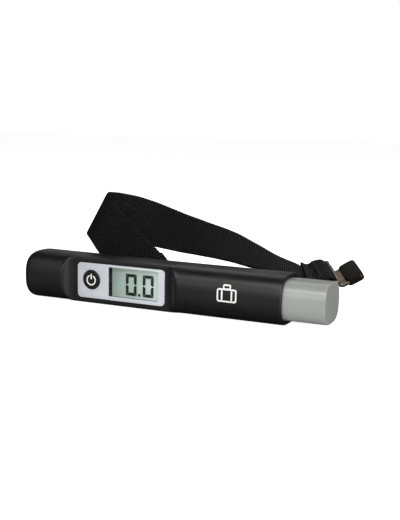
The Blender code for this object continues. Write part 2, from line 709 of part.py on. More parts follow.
# ---- hook -------------------------------------------------------------------
# tongue coordinates are (HOOK_OUT, HOOK_UP) from the bar
TONGUE_T = 1.5
TONGUE_W = 18.4
TONGUE_START = 4.0
BEND_START = 4.1
BEND_R = 1.1
SHANK_ANGLE = math.radians(80)      # how far the first bend turns down
CURL_CENTRE = (7.05, -2.0)
CURL_R = 1.9
LIP_ANGLE = math.radians(22.3)
LIP_LENGTH = 9.2
HEAD_SIZE = (6.2, 28.8)
HEAD_HALF_T = 0.82


def tongue_line():
    """Middle line of the tongue up to where its straight lip begins."""
    line = [(TONGUE_START, 0.0), (BEND_START, 0.0)]
    for k in range(1, 5):
        a = SHANK_ANGLE * k / 4
        line.append((BEND_START + BEND_R * math.sin(a), -BEND_R * (1 - math.cos(a))))
    start = math.pi + (math.pi / 2 - SHANK_ANGLE)
    end = 1.5 * math.pi + LIP_ANGLE
    for k in range(10):
        a = start + (end - start) * k / 9
        line.append((CURL_CENTRE[0] + CURL_R * math.cos(a),
                     CURL_CENTRE[1] + CURL_R * math.sin(a)))
    return line


def band(line, thickness):
    """Band of the given thickness about a line, as a closed outline."""
    left, right = [], []
    for k, (x, y) in enumerate(line):
        before = line[max(k - 1, 0)]
        after = line[min(k + 1, len(line) - 1)]
        dx, dy = after[0] - before[0], after[1] - before[1]
        length = math.hypot(dx, dy)
        nx, ny = -dy / length * thickness / 2, dx / length * thickness / 2
        left.append((x + nx, y + ny))
        right.append((x - nx, y - ny))
    return left + right[::-1]


def hook():
    """Slotted head plate with a curled tongue, and the grip on its lip."""
    head = [rounded_rect((2.0, 0.0), HEAD_SIZE, 1.4, 3),
            rounded_rect((2.45, 0.0), (2.9, WEB_WIDTH + 1.2), 0.6, 2)]
    plate = place("hook_plate", extruded(head, -HEAD_HALF_T, HEAD_HALF_T,
                                         frame(HOOK_OUT, HOOK_BAR_DIR, BAR)),
                  STEEL, pivot=BAR, smooth=35)
    line = tongue_line()
    lip_x, lip_y = line[-1]
    line.append((lip_x + LIP_LENGTH * math.cos(LIP_ANGLE),
                 lip_y + LIP_LENGTH * math.sin(LIP_ANGLE)))
    join(plate, "hook_tongue", extruded([band(line, TONGUE_T)], -TONGUE_W / 2, TONGUE_W / 2,
                                        frame(HOOK_OUT, HOOK_UP, BAR)))

    lip_dir = HOOK_OUT * math.cos(LIP_ANGLE) + HOOK_UP * math.sin(LIP_ANGLE)
    lip = frame(lip_dir, HOOK_BAR_DIR, BAR + HOOK_OUT * lip_x + HOOK_UP * lip_y)
    grip = place("hook_grip",
                 extruded([rounded_rect((5.9, 0.0), (8.4, 19.6), 2.2, 4)], -1.8, 1.8, lip),
                 BLACK, pivot=BAR, smooth=35)
    slot_half = TONGUE_T / 2 + GAP
    cut(grip, "grip_slot",
        extruded([rounded_rect((3.6, 0.0), (11.8, TONGUE_W + 2 * GAP), 0.2, 1)],
                 -slot_half, slot_half, lip))


# ---- battery drawer ---------------------------------------------------------
DRAWER_X = 75.9           # outer end
DRAWER_PIVOT = (DRAWER_X, 0, 0)
DRAWER_HALF_H, DRAWER_HALF_D = 9.1, 10.8
DRAWER_WALL = 1.6
DRAWER_END_WALL = 1.8

TRAY_X = 26.0             # inner end of the tray
TRAY_Z = (-3.4, -2.0)
TRAY_NOTCH_Y = 3.2        # half width of the notch for the lower contact
TRAY_TIP_Y = 8.0          # half width at the inner end

CELL_X = 38.3
CELL_R = 10.0
CELL_Z = (-1.7, 1.5)

CONTACT_X = LOAD_BLOCK_X[1] + GAP
CONTACT_T = 0.3


def battery_drawer():
    body = along_x([section(DRAWER_HALF_H, DRAWER_HALF_D, 48)], 49.0, DRAWER_X)
    drawer = place("battery_drawer", round_end(body, DRAWER_X, 0.6, 3), GREY,
                   pivot=DRAWER_PIVOT, smooth=35)
    cut(drawer, "drawer_hollow",
        along_x([section(DRAWER_HALF_H - DRAWER_WALL, DRAWER_HALF_D - DRAWER_WALL, 32)],
                40.0, DRAWER_X - DRAWER_END_WALL))
    tray = [(TRAY_X, -TRAY_TIP_Y), (TRAY_X, -TRAY_NOTCH_Y), (44.0, -TRAY_NOTCH_Y),
            (44.0, TRAY_NOTCH_Y), (TRAY_X, TRAY_NOTCH_Y), (TRAY_X, TRAY_TIP_Y),
            (29.0, 9.35), (62.0, 9.35), (62.0, -9.35), (29.0, -9.35)]
    join(drawer, "tray", along_z([tray], *TRAY_Z))
    for y0, y1 in ((-TRAY_TIP_Y, -TRAY_NOTCH_Y), (TRAY_NOTCH_Y, TRAY_TIP_Y)):
        join(drawer, "tray_stop", block((TRAY_X, y0, -2.6), (TRAY_X + 1.4, y1, 1.4)))


def battery():
    """Coin cell with a raised, narrower upper face."""
    bottom, top = CELL_Z
    profile = [(0.0, top), (8.6, top), (8.9, top - 0.25),
               (CELL_R - 0.2, top - 0.25), (CELL_R, top - 0.45),
               (CELL_R, bottom + 0.3), (CELL_R - 0.3, bottom), (0.0, bottom)]
    place("battery", turned(profile, (CELL_X, 0, 0), Z_AXIS, 36), STEEL,
          pivot=DRAWER_PIVOT, smooth=40)


def battery_contacts():
    """Strips beside the load block's +X face, reaching over and under the cell."""
    x0, x1 = CONTACT_X, CONTACT_X + CONTACT_T
    upper = [(x0, 7.4), (x0, 1.9), (24.0, 1.8), (40.0, 1.8), (40.6, 2.2), (40.6, 2.5),
             (39.8, 2.1), (24.1, 2.1), (x1, 2.2), (x1, 7.4)]
    lower = [(x0, -7.4), (x1, -7.4), (x1, -2.3), (40.0, -2.3), (40.0, -2.0), (x0, -2.0)]
    for name, loop in (("pos", upper), ("neg", lower)):
        place(f"battery_contact_{name}", along_y([loop], -2.0, 2.0), STEEL)


# ---- wires ------------------------------------------------------------------
# (x, y, distance above or below the axis)
BATTERY_WIRE = [(22.4, -0.2, 6.8), (20.0, -0.4, 6.9), (14.0, -0.9, 6.7),
                (10.2, -1.5, 6.2), (9.2, -2.0, 5.8)]
# (x from the wire's start, y, z)
GAUGE_WIRE = [(0.0, 4.4, 0.9), (0.0, 4.4, 3.6), (-0.4, 3.4, 4.6),
              (-0.8, 0.6, 5.0), (-1.0, -1.1, 4.9)]


def wires():
    for name, mat, side in (("red", RED, 1), ("black", EPOXY, -1)):
        points = [(x, y, side * z) for x, y, z in BATTERY_WIRE]
        place(f"battery_wire_{name}", wire(points, 0.45, 1), mat, smooth=50)
    for k, start_x in enumerate((2.2, 3.4, 4.6), 1):
        points = [(start_x + x, y, z) for x, y, z in GAUGE_WIRE]
        place(f"gauge_wire_{k}", wire(points, 0.3, 1), WHITE, smooth=50)


for build in (front_shell, rear_cover, housing_screws,
              display, button, tact_switch,
              circuit_board, controller_chip,
              load_cell, load_shackle, shackle_screw, load_pin, catch_bail,
              strap, hook,
              battery_drawer, battery, battery_contacts, wires):
    build()
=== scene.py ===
import math

import bmesh
import bpy
from mathutils import Matrix, Vector


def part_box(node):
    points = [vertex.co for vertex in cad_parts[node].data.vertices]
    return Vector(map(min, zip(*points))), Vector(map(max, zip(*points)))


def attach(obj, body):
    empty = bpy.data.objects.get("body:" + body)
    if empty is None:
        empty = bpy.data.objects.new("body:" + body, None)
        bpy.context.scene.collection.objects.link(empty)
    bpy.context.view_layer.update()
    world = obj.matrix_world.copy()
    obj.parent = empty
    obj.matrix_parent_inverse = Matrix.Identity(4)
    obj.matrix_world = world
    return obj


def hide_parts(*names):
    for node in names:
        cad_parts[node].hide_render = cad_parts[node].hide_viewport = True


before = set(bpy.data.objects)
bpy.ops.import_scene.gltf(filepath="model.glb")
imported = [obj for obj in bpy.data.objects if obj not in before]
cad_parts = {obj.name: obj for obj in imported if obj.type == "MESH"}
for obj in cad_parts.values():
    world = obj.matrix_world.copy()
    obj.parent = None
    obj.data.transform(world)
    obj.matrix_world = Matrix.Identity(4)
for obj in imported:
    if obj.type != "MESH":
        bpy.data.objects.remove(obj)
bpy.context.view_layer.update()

# ---------------------------------------------------------------------------
# The row frame is in metres. Shapes are drawn here in millimetres measured
# from the tube's axis, which lies AXIS_Z above the resting flat.
# ---------------------------------------------------------------------------
MM = 0.001
AXIS_Z = 0.011
TO_ROW = Matrix.Translation((0, 0, AXIS_Z)) @ Matrix.Scale(MM, 4)


def node_box(name):
    """CAD node's box in axis millimetres."""
    lo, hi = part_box(name)
    return ((lo - Vector((0, 0, AXIS_Z))) / MM, (hi - Vector((0, 0, AXIS_Z))) / MM)


shell_lo, shell_hi = node_box("front_shell")
bezel_lo, bezel_hi = node_box("display_bezel")
button_lo, button_hi = node_box("unit_tare_button")
glass_lo, glass_hi = node_box("lcd_glass")
lens_lo, lens_hi = node_box("lcd_lens")
drawer_lo, drawer_hi = node_box("battery_drawer")
rear_lo, rear_hi = node_box("rear_cover")
pin_lo, pin_hi = node_box("load_pin")

TUBE_X0 = shell_lo.x
TUBE_X1 = shell_hi.x
HALF_D = -shell_lo.y
HALF_H = shell_hi.z
POWER = 3.0
WALL = 1.8
END_ROUND = 4.4
GAP = 0.3
FLAT_Y = -9.45
FLAT_X = (-50.6, 3.0)
RECESS_RUN = 3.9
INNER_Y = -7.3
PANEL_X = (bezel_lo.x + bezel_hi.x) / 2
PANEL_Z = (bezel_lo.z + bezel_hi.z) / 2
PANEL_W = bezel_hi.x - bezel_lo.x
PANEL_H = bezel_hi.z - bezel_lo.z
PANEL_FRONT = bezel_lo.y
PANEL_BACK = bezel_hi.y
WINDOW = (-16.8, 0.7, 26.4, 13.9)
BUTTON = ((button_lo.x + button_hi.x) / 2, (button_lo.z + button_hi.z) / 2)
BUTTON_R = 4.6
SLOT_X = (pin_lo.x + pin_hi.x) / 2
PIN_Y = (pin_lo.y + pin_hi.y) / 2
PIN_R = 1.25
WEB_W, WEB_T = 25.0, 1.5
POSTS_REAR = [(-57.6, 6.0), (-57.6, -6.0), (41.0, 6.0), (41.0, -6.0)]
BACK_X = (rear_lo.x, rear_hi.x)
BACK_Y = rear_lo.y

looks = bpy.data.collections.new("looks")
bpy.context.scene.collection.children.link(looks)


# ---------------------------------------------------------------------------
# mesh helpers
# ---------------------------------------------------------------------------
def bench(mesh):
    ob = bpy.data.objects.new("bench", mesh)
    bpy.context.scene.collection.objects.link(ob)
    return ob


def bake(ob):
    """The object's mesh with its modifiers applied; the object goes."""
    bpy.context.view_layer.update()
    dg = bpy.context.evaluated_depsgraph_get()
    mesh = bpy.data.meshes.new_from_object(ob.evaluated_get(dg))
    old = ob.data
    bpy.data.objects.remove(ob, do_unlink=True)
    if old.users == 0 and isinstance(old, bpy.types.Mesh):
        bpy.data.meshes.remove(old)
    return mesh


def close(bm):
    bmesh.ops.recalc_face_normals(bm, faces=bm.faces)
    mesh = bpy.data.meshes.new("mesh")
    bm.to_mesh(mesh)
    bm.free()
    return mesh


def cut(mesh, tools, operation='DIFFERENCE'):
    """Boolean of one mesh with several others, all at once."""
    group = bpy.data.collections.new("tools")
    bpy.context.scene.collection.children.link(group)
    obs = []
    for t in tools:
        o = bpy.data.objects.new("tool", t)
        group.objects.link(o)
        obs.append(o)
    ob = bench(mesh)
    mod = ob.modifiers.new("cut", 'BOOLEAN')
    mod.operation = operation
    mod.solver = 'EXACT'
    if len(obs) == 1:
        mod.object = obs[0]
    else:
        mod.operand_type = 'COLLECTION'
        mod.collection = group
    out = bake(ob)
    for o in obs:
        me = o.data
        bpy.data.objects.remove(o, do_unlink=True)
        bpy.data.meshes.remove(me)
    bpy.data.collections.remove(group)
    return out


def soften(mesh, width, segments=2, angle=35):
    """Rounded edges wherever two faces meet at more than the angle."""
    ob = bench(mesh)
    mod = ob.modifiers.new("soften", 'BEVEL')
    mod.width = width
    mod.segments = segments
    mod.limit_method = 'ANGLE'
    mod.angle_limit = math.radians(angle)
    mod.use_clamp_overlap = True
    return bake(ob)


def axes(ex, ey, origin=(0, 0, 0)):
    ex, ey = Vector(ex).normalized(), Vector(ey).normalized()
    m = Matrix((ex, ey, ex.cross(ey))).transposed().to_4x4()
    m.translation = Vector(origin)
    return m


YZ = axes((0, 1, 0), (0, 0, 1))
XZ = axes((1, 0, 0), (0, 0, 1))
XY = axes((1, 0, 0), (0, 1, 0))


def plate(loops, t0, t1, matrix, edge=0.0, res=2):
    """Flat outline with holes, extruded from t0 to t1, edges rounded by edge."""
    cu = bpy.data.curves.new("plate", 'CURVE')
    cu.dimensions = '2D'
    cu.fill_mode = 'BOTH'
    cu.extrude = abs(t1 - t0) / 2 - edge
    cu.bevel_depth = edge
    cu.bevel_resolution = res
    cu.offset = -edge
    cu.resolution_u = 1
    for pts in loops:
        sp = cu.splines.new('POLY')
        sp.points.add(len(pts) - 1)
        for p, (x, y) in zip(sp.points, pts):
            p.co = (x, y, 0.0, 1.0)
        sp.use_cyclic_u = True
    ob = bpy.data.objects.new("plate", cu)
    bpy.context.scene.collection.objects.link(ob)
    ob.matrix_world = matrix @ Matrix.Translation((0, 0, (t0 + t1) / 2))
    bpy.context.view_layer.update()
    world = ob.matrix_world.copy()
    mesh = bake(ob)
    bm = bmesh.new()
    bm.from_mesh(mesh)
    bpy.data.meshes.remove(mesh)
    bmesh.ops.remove_doubles(bm, verts=bm.verts, dist=0.0005)
    bmesh.ops.transform(bm, matrix=world, verts=bm.verts)
    return close(bm)


def wire(points, r, matrix=None, res=5, cyclic=False):
    cu = bpy.data.curves.new("wire", 'CURVE')
    cu.dimensions = '3D'
    cu.bevel_depth = r
    cu.bevel_resolution = res
    cu.use_fill_caps = not cyclic
    sp = cu.splines.new('POLY')
    sp.points.add(len(points) - 1)
    for p, co in zip(sp.points, points):
        p.co = (*co, 1.0)
    sp.use_cyclic_u = cyclic
    ob = bpy.data.objects.new("wire", cu)
    bpy.context.scene.collection.objects.link(ob)
    if matrix is not None:
        ob.matrix_world = matrix
    bpy.context.view_layer.update()
    world = ob.matrix_world.copy()
    mesh = bake(ob)
    bm = bmesh.new()
    bm.from_mesh(mesh)
    bpy.data.meshes.remove(mesh)
    bmesh.ops.remove_doubles(bm, verts=bm.verts, dist=0.0005)
    bmesh.ops.transform(bm, matrix=world, verts=bm.verts)
    return close(bm)


def box_mesh(lo, hi):
    lo, hi = Vector(lo), Vector(hi)
    bm = bmesh.new()
    bmesh.ops.create_cube(bm, size=1.0)
    bmesh.ops.scale(bm, vec=hi - lo, verts=bm.verts)
    bmesh.ops.translate(bm, vec=(lo + hi) / 2, verts=bm.verts)
    return close(bm)


def rounded_rect(cx, cy, w, h, r, seg=10):
    pts = []
    for qx, qy, a0 in ((1, 1, 0), (-1, 1, 90), (-1, -1, 180), (1, -1, 270)):
        ox, oy = cx + qx * (w / 2 - r), cy + qy * (h / 2 - r)
        for k in range(seg + 1):
            a = math.radians(a0 + 90 * k / seg)
            pts.append((ox + r * math.cos(a), oy + r * math.sin(a)))
    return pts


def circle(cx, cy, r, seg=64):
    return [(cx + r * math.cos(2 * math.pi * k / seg),
             cy + r * math.sin(2 * math.pi * k / seg)) for k in range(seg)]


def fillet(pts, radii, seg=4):
    """Open polyline with its corners rounded."""
    out = [pts[0]]
    for k in range(1, len(pts) - 1):
        p, a, b = Vector(pts[k]), Vector(pts[k - 1]), Vector(pts[k + 1])
        r = radii[k] if isinstance(radii, (list, tuple)) else radii
        u, v = (a - p), (b - p)
        if r <= 0 or u.length < 1e-6 or v.length < 1e-6:
            out.append(tuple(p))
            continue
        ang = u.angle(v)
        d = min(r / math.tan(ang / 2), u.length * 0.49, v.length * 0.49)
        p0, p1 = p + u.normalized() * d, p + v.normalized() * d
        for i in range(seg + 1):
            t = i / seg
            q = p0 * (1 - t) ** 2 + p * 2 * t * (1 - t) + p1 * t * t
            out.append(tuple(q))
    out.append(pts[-1])
    return out


def lathe(profile, origin, axis, seg=64):
    """Solid of revolution: profile = (radius, height), both ends on the axis."""
    turn = Vector((0, 0, 1)).rotation_difference(Vector(axis)).to_matrix().to_4x4()
    m = Matrix.Translation(Vector(origin)) @ turn
    bm = bmesh.new()
    rings = []
    for r, h in profile:
        if r < 1e-6:
            rings.append([bm.verts.new(m @ Vector((0, 0, h)))])
        else:
            rings.append([bm.verts.new(m @ Vector((r * math.cos(2 * math.pi * k / seg),
                                                   r * math.sin(2 * math.pi * k / seg), h)))
                          for k in range(seg)])
    for a, b in zip(rings, rings[1:]):
        if len(a) == 1 and len(b) == 1:
            continue
        for k in range(seg):
            j = (k + 1) % seg
            if len(a) == 1:
                bm.faces.new((a[0], b[k], b[j]))
            elif len(b) == 1:
                bm.faces.new((a[k], b[0], a[j]))
            else:
                bm.faces.new((a[k], b[k], b[j], a[j]))
    return close(bm)


def squircle(h, d, count, power=POWER):
    """Section (y, z), points evenly spaced along its outline."""
    fine = []
    n = 4000
    for i in range(n):
        a = 2 * math.pi * i / n
        c, s = math.cos(a), math.sin(a)
        fine.append((d * math.copysign(abs(c) ** (2 / power), c),
                     h * math.copysign(abs(s) ** (2 / power), s)))
    run = [0.0]
    for i in range(n):
        p, q = fine[i], fine[(i + 1) % n]
        run.append(run[-1] + math.hypot(q[0] - p[0], q[1] - p[1]))
    out = []
    j = 0
    for k in range(count):
        want = run[-1] * k / count
        while run[j + 1] < want:
            j += 1
        t = (want - run[j]) / (run[j + 1] - run[j])
        p, q = fine[j], fine[(j + 1) % n]
        out.append((p[0] + (q[0] - p[0]) * t, p[1] + (q[1] - p[1]) * t))
    return out


def loft(rings, start_rings=(), end_rings=()):
    """Skin over closed rings of equal count, ends closed by a fan of rings."""
    bm = bmesh.new()
    rows = [[bm.verts.new(p) for p in ring] for ring in rings]
    for a, b in zip(rows, rows[1:]):
        n = len(a)
        for k in range(n):
            j = (k + 1) % n
            bm.faces.new((a[k], a[j], b[j], b[k]))
    for row in (rows[0], rows[-1]):
        c = sum((v.co for v in row), Vector()) / len(row)
        prev = row
        for f in (0.8, 0.45):
            ring = [bm.verts.new(c + (v.co - c) * f) for v in row]
            for k in range(len(row)):
                j = (k + 1) % len(row)
                bm.faces.new((prev[k], prev[j], ring[j], ring[k]))
            prev = ring
        mid = bm.verts.new(c)
        for k in range(len(row)):
            bm.faces.new((prev[k], prev[(k + 1) % len(row)], mid))
    return close(bm)


def smax(a, b, k):
    h = max(k - abs(a - b), 0.0) / k
    return max(a, b) + h * h * k * 0.25


def smin(a, b, k):
    return -smax(-a, -b, k)


def show(name, mesh, mat, body, replaces=(), smooth=32, mats=None):
    """Final piece: to metres in the row frame, material, body."""
    mesh.transform(TO_ROW)
    mesh.materials.clear()
    for m in (mats or [mat]):
        mesh.materials.append(m)
    mesh.shade_smooth()
    mesh.set_sharp_from_angle(angle=math.radians(smooth))
    ob = bpy.data.objects.new(name, mesh)
    looks.objects.link(ob)
    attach(ob, body)
    if replaces:
        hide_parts(*replaces)
    return ob


# ---------------------------------------------------------------------------
# materials
# ---------------------------------------------------------------------------
class Graph:
    """Small helper round a material's node tree."""

    def __init__(self, name):
        self.mat = bpy.data.materials.new(name)
        self.mat.use_nodes = True
        self.nt = self.mat.node_tree
        self.nt.nodes.clear()
        self.out = self.nt.nodes.new("ShaderNodeOutputMaterial")
        self.bsdf = self.nt.nodes.new("ShaderNodeBsdfPrincipled")
        self.link(self.bsdf.outputs[0], self.out.inputs["Surface"])
        self._mm = None

    def link(self, a, b):
        self.nt.links.new(a, b)

    def new(self, kind, **props):
        n = self.nt.nodes.new(kind)
        for k, v in props.items():
            setattr(n, k, v)
        return n

    def feed(self, socket, value):
        if hasattr(value, "is_output"):
            self.link(value, socket)
        else:
            socket.default_value = value

    def mm(self):
        """Object coordinates in millimetres."""
        if self._mm is None:
            tc = self.new("ShaderNodeTexCoord")
            mp = self.new("ShaderNodeMapping")
            mp.inputs["Scale"].default_value = (1000, 1000, 1000)
            self.link(tc.outputs["Object"], mp.inputs["Vector"])
            self._mm = mp.outputs["Vector"]
        return self._mm

    def stretch(self, vec, scale):
        mp = self.new("ShaderNodeMapping")
        mp.inputs["Scale"].default_value = scale
        self.link(vec, mp.inputs["Vector"])
        return mp.outputs["Vector"]

    def noise(self, vec, scale, detail=2.0, rough=0.5):
        n = self.new("ShaderNodeTexNoise")
        n.inputs["Scale"].default_value = scale
        n.inputs["Detail"].default_value = detail
        n.inputs["Roughness"].default_value = rough
        self.link(vec, n.inputs["Vector"])
        return n.outputs["Fac"]

    def voronoi(self, vec, scale, feature='F1'):
        n = self.new("ShaderNodeTexVoronoi", feature=feature)
        n.inputs["Scale"].default_value = scale
        self.link(vec, n.inputs["Vector"])
        return n.outputs["Distance"]

    def math(self, op, a, b=0.0, c=0.0, clamp=False):
        n = self.new("ShaderNodeMath", operation=op, use_clamp=clamp)
        self.feed(n.inputs[0], a)
        self.feed(n.inputs[1], b)
        if len(n.inputs) > 2:
            self.feed(n.inputs[2], c)
        return n.outputs[0]

    def remap(self, v, a, b, c, d):
        n = self.new("ShaderNodeMapRange", clamp=True)
        self.feed(n.inputs["Value"], v)
        for k, x in zip(("From Min", "From Max", "To Min", "To Max"), (a, b, c, d)):
            n.inputs[k].default_value = x
        return n.outputs["Result"]

    def mix(self, fac, a, b):
        n = self.new("ShaderNodeMix", data_type='RGBA')
        self.feed(n.inputs["Factor"], fac)
        self.feed(n.inputs["A"], a if hasattr(a, "is_output") else (*a, 1.0))
        self.feed(n.inputs["B"], b if hasattr(b, "is_output") else (*b, 1.0))
        return n.outputs["Result"]

    def axis(self, vec, k):
        n = self.new("ShaderNodeSeparateXYZ")
        self.link(vec, n.inputs[0])
        return n.outputs[k]

    def edge(self, lo=0.52, hi=0.62):
        """1 on convex edges, from the mesh's pointiness."""
        g = self.new("ShaderNodeNewGeometry")
        return self.remap(g.outputs["Pointiness"], lo, hi, 0.0, 1.0)

    def bump(self, height, distance, strength=1.0, normal=None):
        n = self.new("ShaderNodeBump")
        n.inputs["Strength"].default_value = strength
        n.inputs["Distance"].default_value = distance
        self.feed(n.inputs["Height"], height)
        if normal is not None:
            self.link(normal, n.inputs["Normal"])
        return n.outputs["Normal"]

    def set(self, **kw):
        for k, v in kw.items():
            s = self.bsdf.inputs[k.replace("_", " ")]
            if isinstance(v, tuple) and len(v) == 3:
                v = (*v, 1.0) if len(s.default_value) == 4 else v
            self.feed(s, v)
        return self.mat


def moulded(name, base, rough, grain=0.30, depth=6e-6, vary=0.25, wear=0.35,
            wear_to=None, spec=0.5, coat=0.0, coat_rough=0.1):
    """Moulded plastic: fine spark-eroded grain, slow colour drift, lightened edges: rubbed wear, and on the silver
    panel a painted edge highlight.
    """
    g = Graph(name)
    v = g.mm()
    fine = g.noise(v, 1.0 / grain, 3.0, 0.55)
    slow = g.noise(v, 0.06, 2.0)
    cell = g.voronoi(v, 0.9 / grain)
    dark = tuple(c * (1 - vary) for c in base)
    light = tuple(min(1.0, c * (1 + vary)) for c in base)
    col = g.mix(g.remap(slow, 0.35, 0.65, 0, 1), dark, light)
    speck = g.remap(fine, 0.35, 0.7, 0.0, 0.35)
    col = g.mix(speck, col, light)
    # Lightened edges: rubbed wear, and for the silver panel a painted highlight along its bevelled border.
    e = g.edge()
    patch = g.remap(g.noise(v, 0.35, 3.0, 0.6), 0.42, 0.62, 0.0, 1.0)
    wear_and_edge_highlight = g.math('MULTIPLY', g.math('MULTIPLY', e, patch), wear)
    to = wear_to or tuple(min(1.0, c * 2.2 + 0.01) for c in base)
    col = g.mix(wear_and_edge_highlight, col, to)
    r = g.math('ADD', rough, g.remap(slow, 0.3, 0.7, -0.05, 0.05))
    r = g.math('ADD', r, g.remap(fine, 0.3, 0.7, -0.03, 0.03))
    r = g.math('SUBTRACT', r, g.math('MULTIPLY', wear_and_edge_highlight, 0.15), clamp=True)
    h = g.math('ADD', g.math('MULTIPLY', fine, 0.7), g.math('MULTIPLY', cell, 0.5))
    return g.set(Base_Color=col, Roughness=r, Normal=g.bump(h, depth),
                 Specular_IOR_Level=spec, Coat_Weight=coat, Coat_Roughness=coat_rough)


def brushed(name, base, rough=0.32, along=(0.15, 3.0, 3.0), depth=4e-6, tint=None, wear=0.4,
            metal=1.0):
    """Rolled or brushed metal: drawn-out scratches, faint stains, bright edges."""
    g = Graph(name)
    v = g.mm()
    lines = g.noise(g.stretch(v, along), 3.0, 4.0, 0.65)
    stain = g.noise(v, 0.25, 3.0, 0.6)
    pits = g.noise(v, 6.0, 2.0, 0.5)
    tint = tint or tuple(c * 0.62 for c in base)
    col = g.mix(g.remap(stain, 0.38, 0.68, 0.0, 0.8), base, tint)
    col = g.mix(g.remap(lines, 0.3, 0.7, 0.0, 0.35), col, tuple(min(1.0, c * 1.25) for c in base))
    col = g.mix(g.math('MULTIPLY', g.edge(), wear), col, tuple(min(1.0, c * 1.5) for c in base))
    r = g.math('ADD', rough, g.remap(lines, 0.3, 0.7, -0.08, 0.10))
    r = g.math('ADD', r, g.remap(stain, 0.4, 0.7, 0.0, 0.10), clamp=True)
    h = g.math('ADD', lines, g.math('MULTIPLY', pits, 0.4))
    return g.set(Base_Color=col, Metallic=metal, Roughness=r, Normal=g.bump(h, depth))


def painted(name, base, rough=0.30):
    """Sprayed satin lacquer over plastic: orange peel, dust nibs, edges painted lighter as a highlight."""
    g = Graph(name)
    v = g.mm()
    peel = g.noise(v, 0.9, 2.0, 0.45)
    slow = g.noise(v, 0.05, 2.0)
    flake = g.voronoi(v, 9.0)
    col = g.mix(g.remap(slow, 0.35, 0.65, 0, 1), tuple(c * 0.96 for c in base),
                tuple(min(1, c * 1.04) for c in base))
    col = g.mix(g.remap(flake, 0.0, 0.5, 0.16, 0.0), col, tuple(min(1, c * 1.35) for c in base))
    # Edges lightened by up to 30%: painted highlight along the rounded edges.
    col = g.mix(g.math('MULTIPLY', g.edge(0.53, 0.60), 0.30), col,
                tuple(min(1, c * 1.30) for c in base))
    r = g.math('ADD', rough, g.remap(slow, 0.3, 0.7, -0.03, 0.03))
    h = g.math('ADD', peel, g.math('MULTIPLY', flake, 0.05))
    return g.set(Base_Color=col, Roughness=r, Normal=g.bump(h, 5e-6),
                 Specular_IOR_Level=0.5, Coat_Weight=0.30, Coat_Roughness=0.26, Metallic=0.0)


def webbing_material(name, base, pitch):
    """Woven polypropylene: picks across the band, warp yarns along it, fibre sheen; painted shade in the grooves
    between picks and painted highlight on their crowns and fibres.
    """
    g = Graph(name)
    uvn = g.new("ShaderNodeUVMap")
    uvn.uv_map = "band"
    s = g.axis(uvn.outputs["UV"], 0)
    w = g.axis(uvn.outputs["UV"], 1)
    v = g.mm()
    # warp yarns lie across w; every second yarn is half a pick out of step
    yarn = g.math('MULTIPLY', w, 1 / 0.62)
    cell = g.math('FLOOR', yarn)
    odd = g.math('MODULO', g.math('ABSOLUTE', cell), 2.0)
    ph = g.math('ADD', g.math('MULTIPLY', s, 1 / pitch), g.math('MULTIPLY', odd, 0.22))
    pick = g.math('COSINE', g.math('MULTIPLY', ph, 2 * math.pi))
    across = g.math('ABSOLUTE', g.math('SINE', g.math('MULTIPLY', yarn, math.pi)))
    across = g.math('POWER', across, 0.5)
    fibre = g.noise(g.stretch(v, (1.0, 1.0, 1.0)), 7.0, 3.0, 0.6)
    fuzz = g.noise(v, 1.3, 3.0, 0.6)
    up = g.math('MULTIPLY_ADD', pick, 0.5, 0.5)
    crown = g.math('MULTIPLY', up, across)
    # Painted shade and highlight: grooves go down to 0.15 of the base, crowns up to 1.6 and fibre flecks up to 2.6.
    dark = tuple(c * 0.15 for c in base)
    light = tuple(min(1, c * 2.6) for c in base)
    col = g.mix(g.remap(crown, 0.10, 0.95, 0.0, 1.0), dark, tuple(c * 1.6 for c in base))
    col = g.mix(g.remap(fibre, 0.5, 0.75, 0.0, 0.5), col, light)
    col = g.mix(g.remap(fuzz, 0.35, 0.75, 0.0, 0.35), col, tuple(c * 0.6 for c in base))
    h = g.math('ADD', g.math('MULTIPLY', crown, 1.0), g.math('MULTIPLY', fibre, 0.25))
    r = g.remap(crown, 0.0, 1.0, 0.95, 0.50)
    return g.set(Base_Color=col, Roughness=r, Normal=g.bump(h, 1.3e-4, 1.0),
                 Specular_IOR_Level=g.remap(crown, 0.2, 0.9, 0.05, 0.5), Sheen_Weight=0.02, Sheen_Roughness=0.4,
                 Sheen_Tint=(0.5, 0.5, 0.52, 1.0))


def board_material():
    g = Graph("board_solder_mask")
    v = g.mm()
    slow = g.noise(v, 0.12, 2.0)
    br = g.new("ShaderNodeTexBrick")
    br.inputs["Scale"].default_value = 0.28
    br.inputs["Mortar Size"].default_value = 0.03
    g.link(v, br.inputs["Vector"])
    track = g.remap(br.outputs["Fac"], 0.3, 0.8, 0.0, 0.5)
    weave = g.noise(g.stretch(v, (6, 6, 1)), 1.0, 1.0)
    col = g.mix(slow, (0.012, 0.085, 0.035), (0.02, 0.13, 0.05))
    col = g.mix(track, col, (0.05, 0.22, 0.09))
    return g.set(Base_Color=col, Roughness=g.remap(weave, 0.3, 0.7, 0.3, 0.45),
                 Normal=g.bump(g.math('ADD', track, weave), 1e-5))


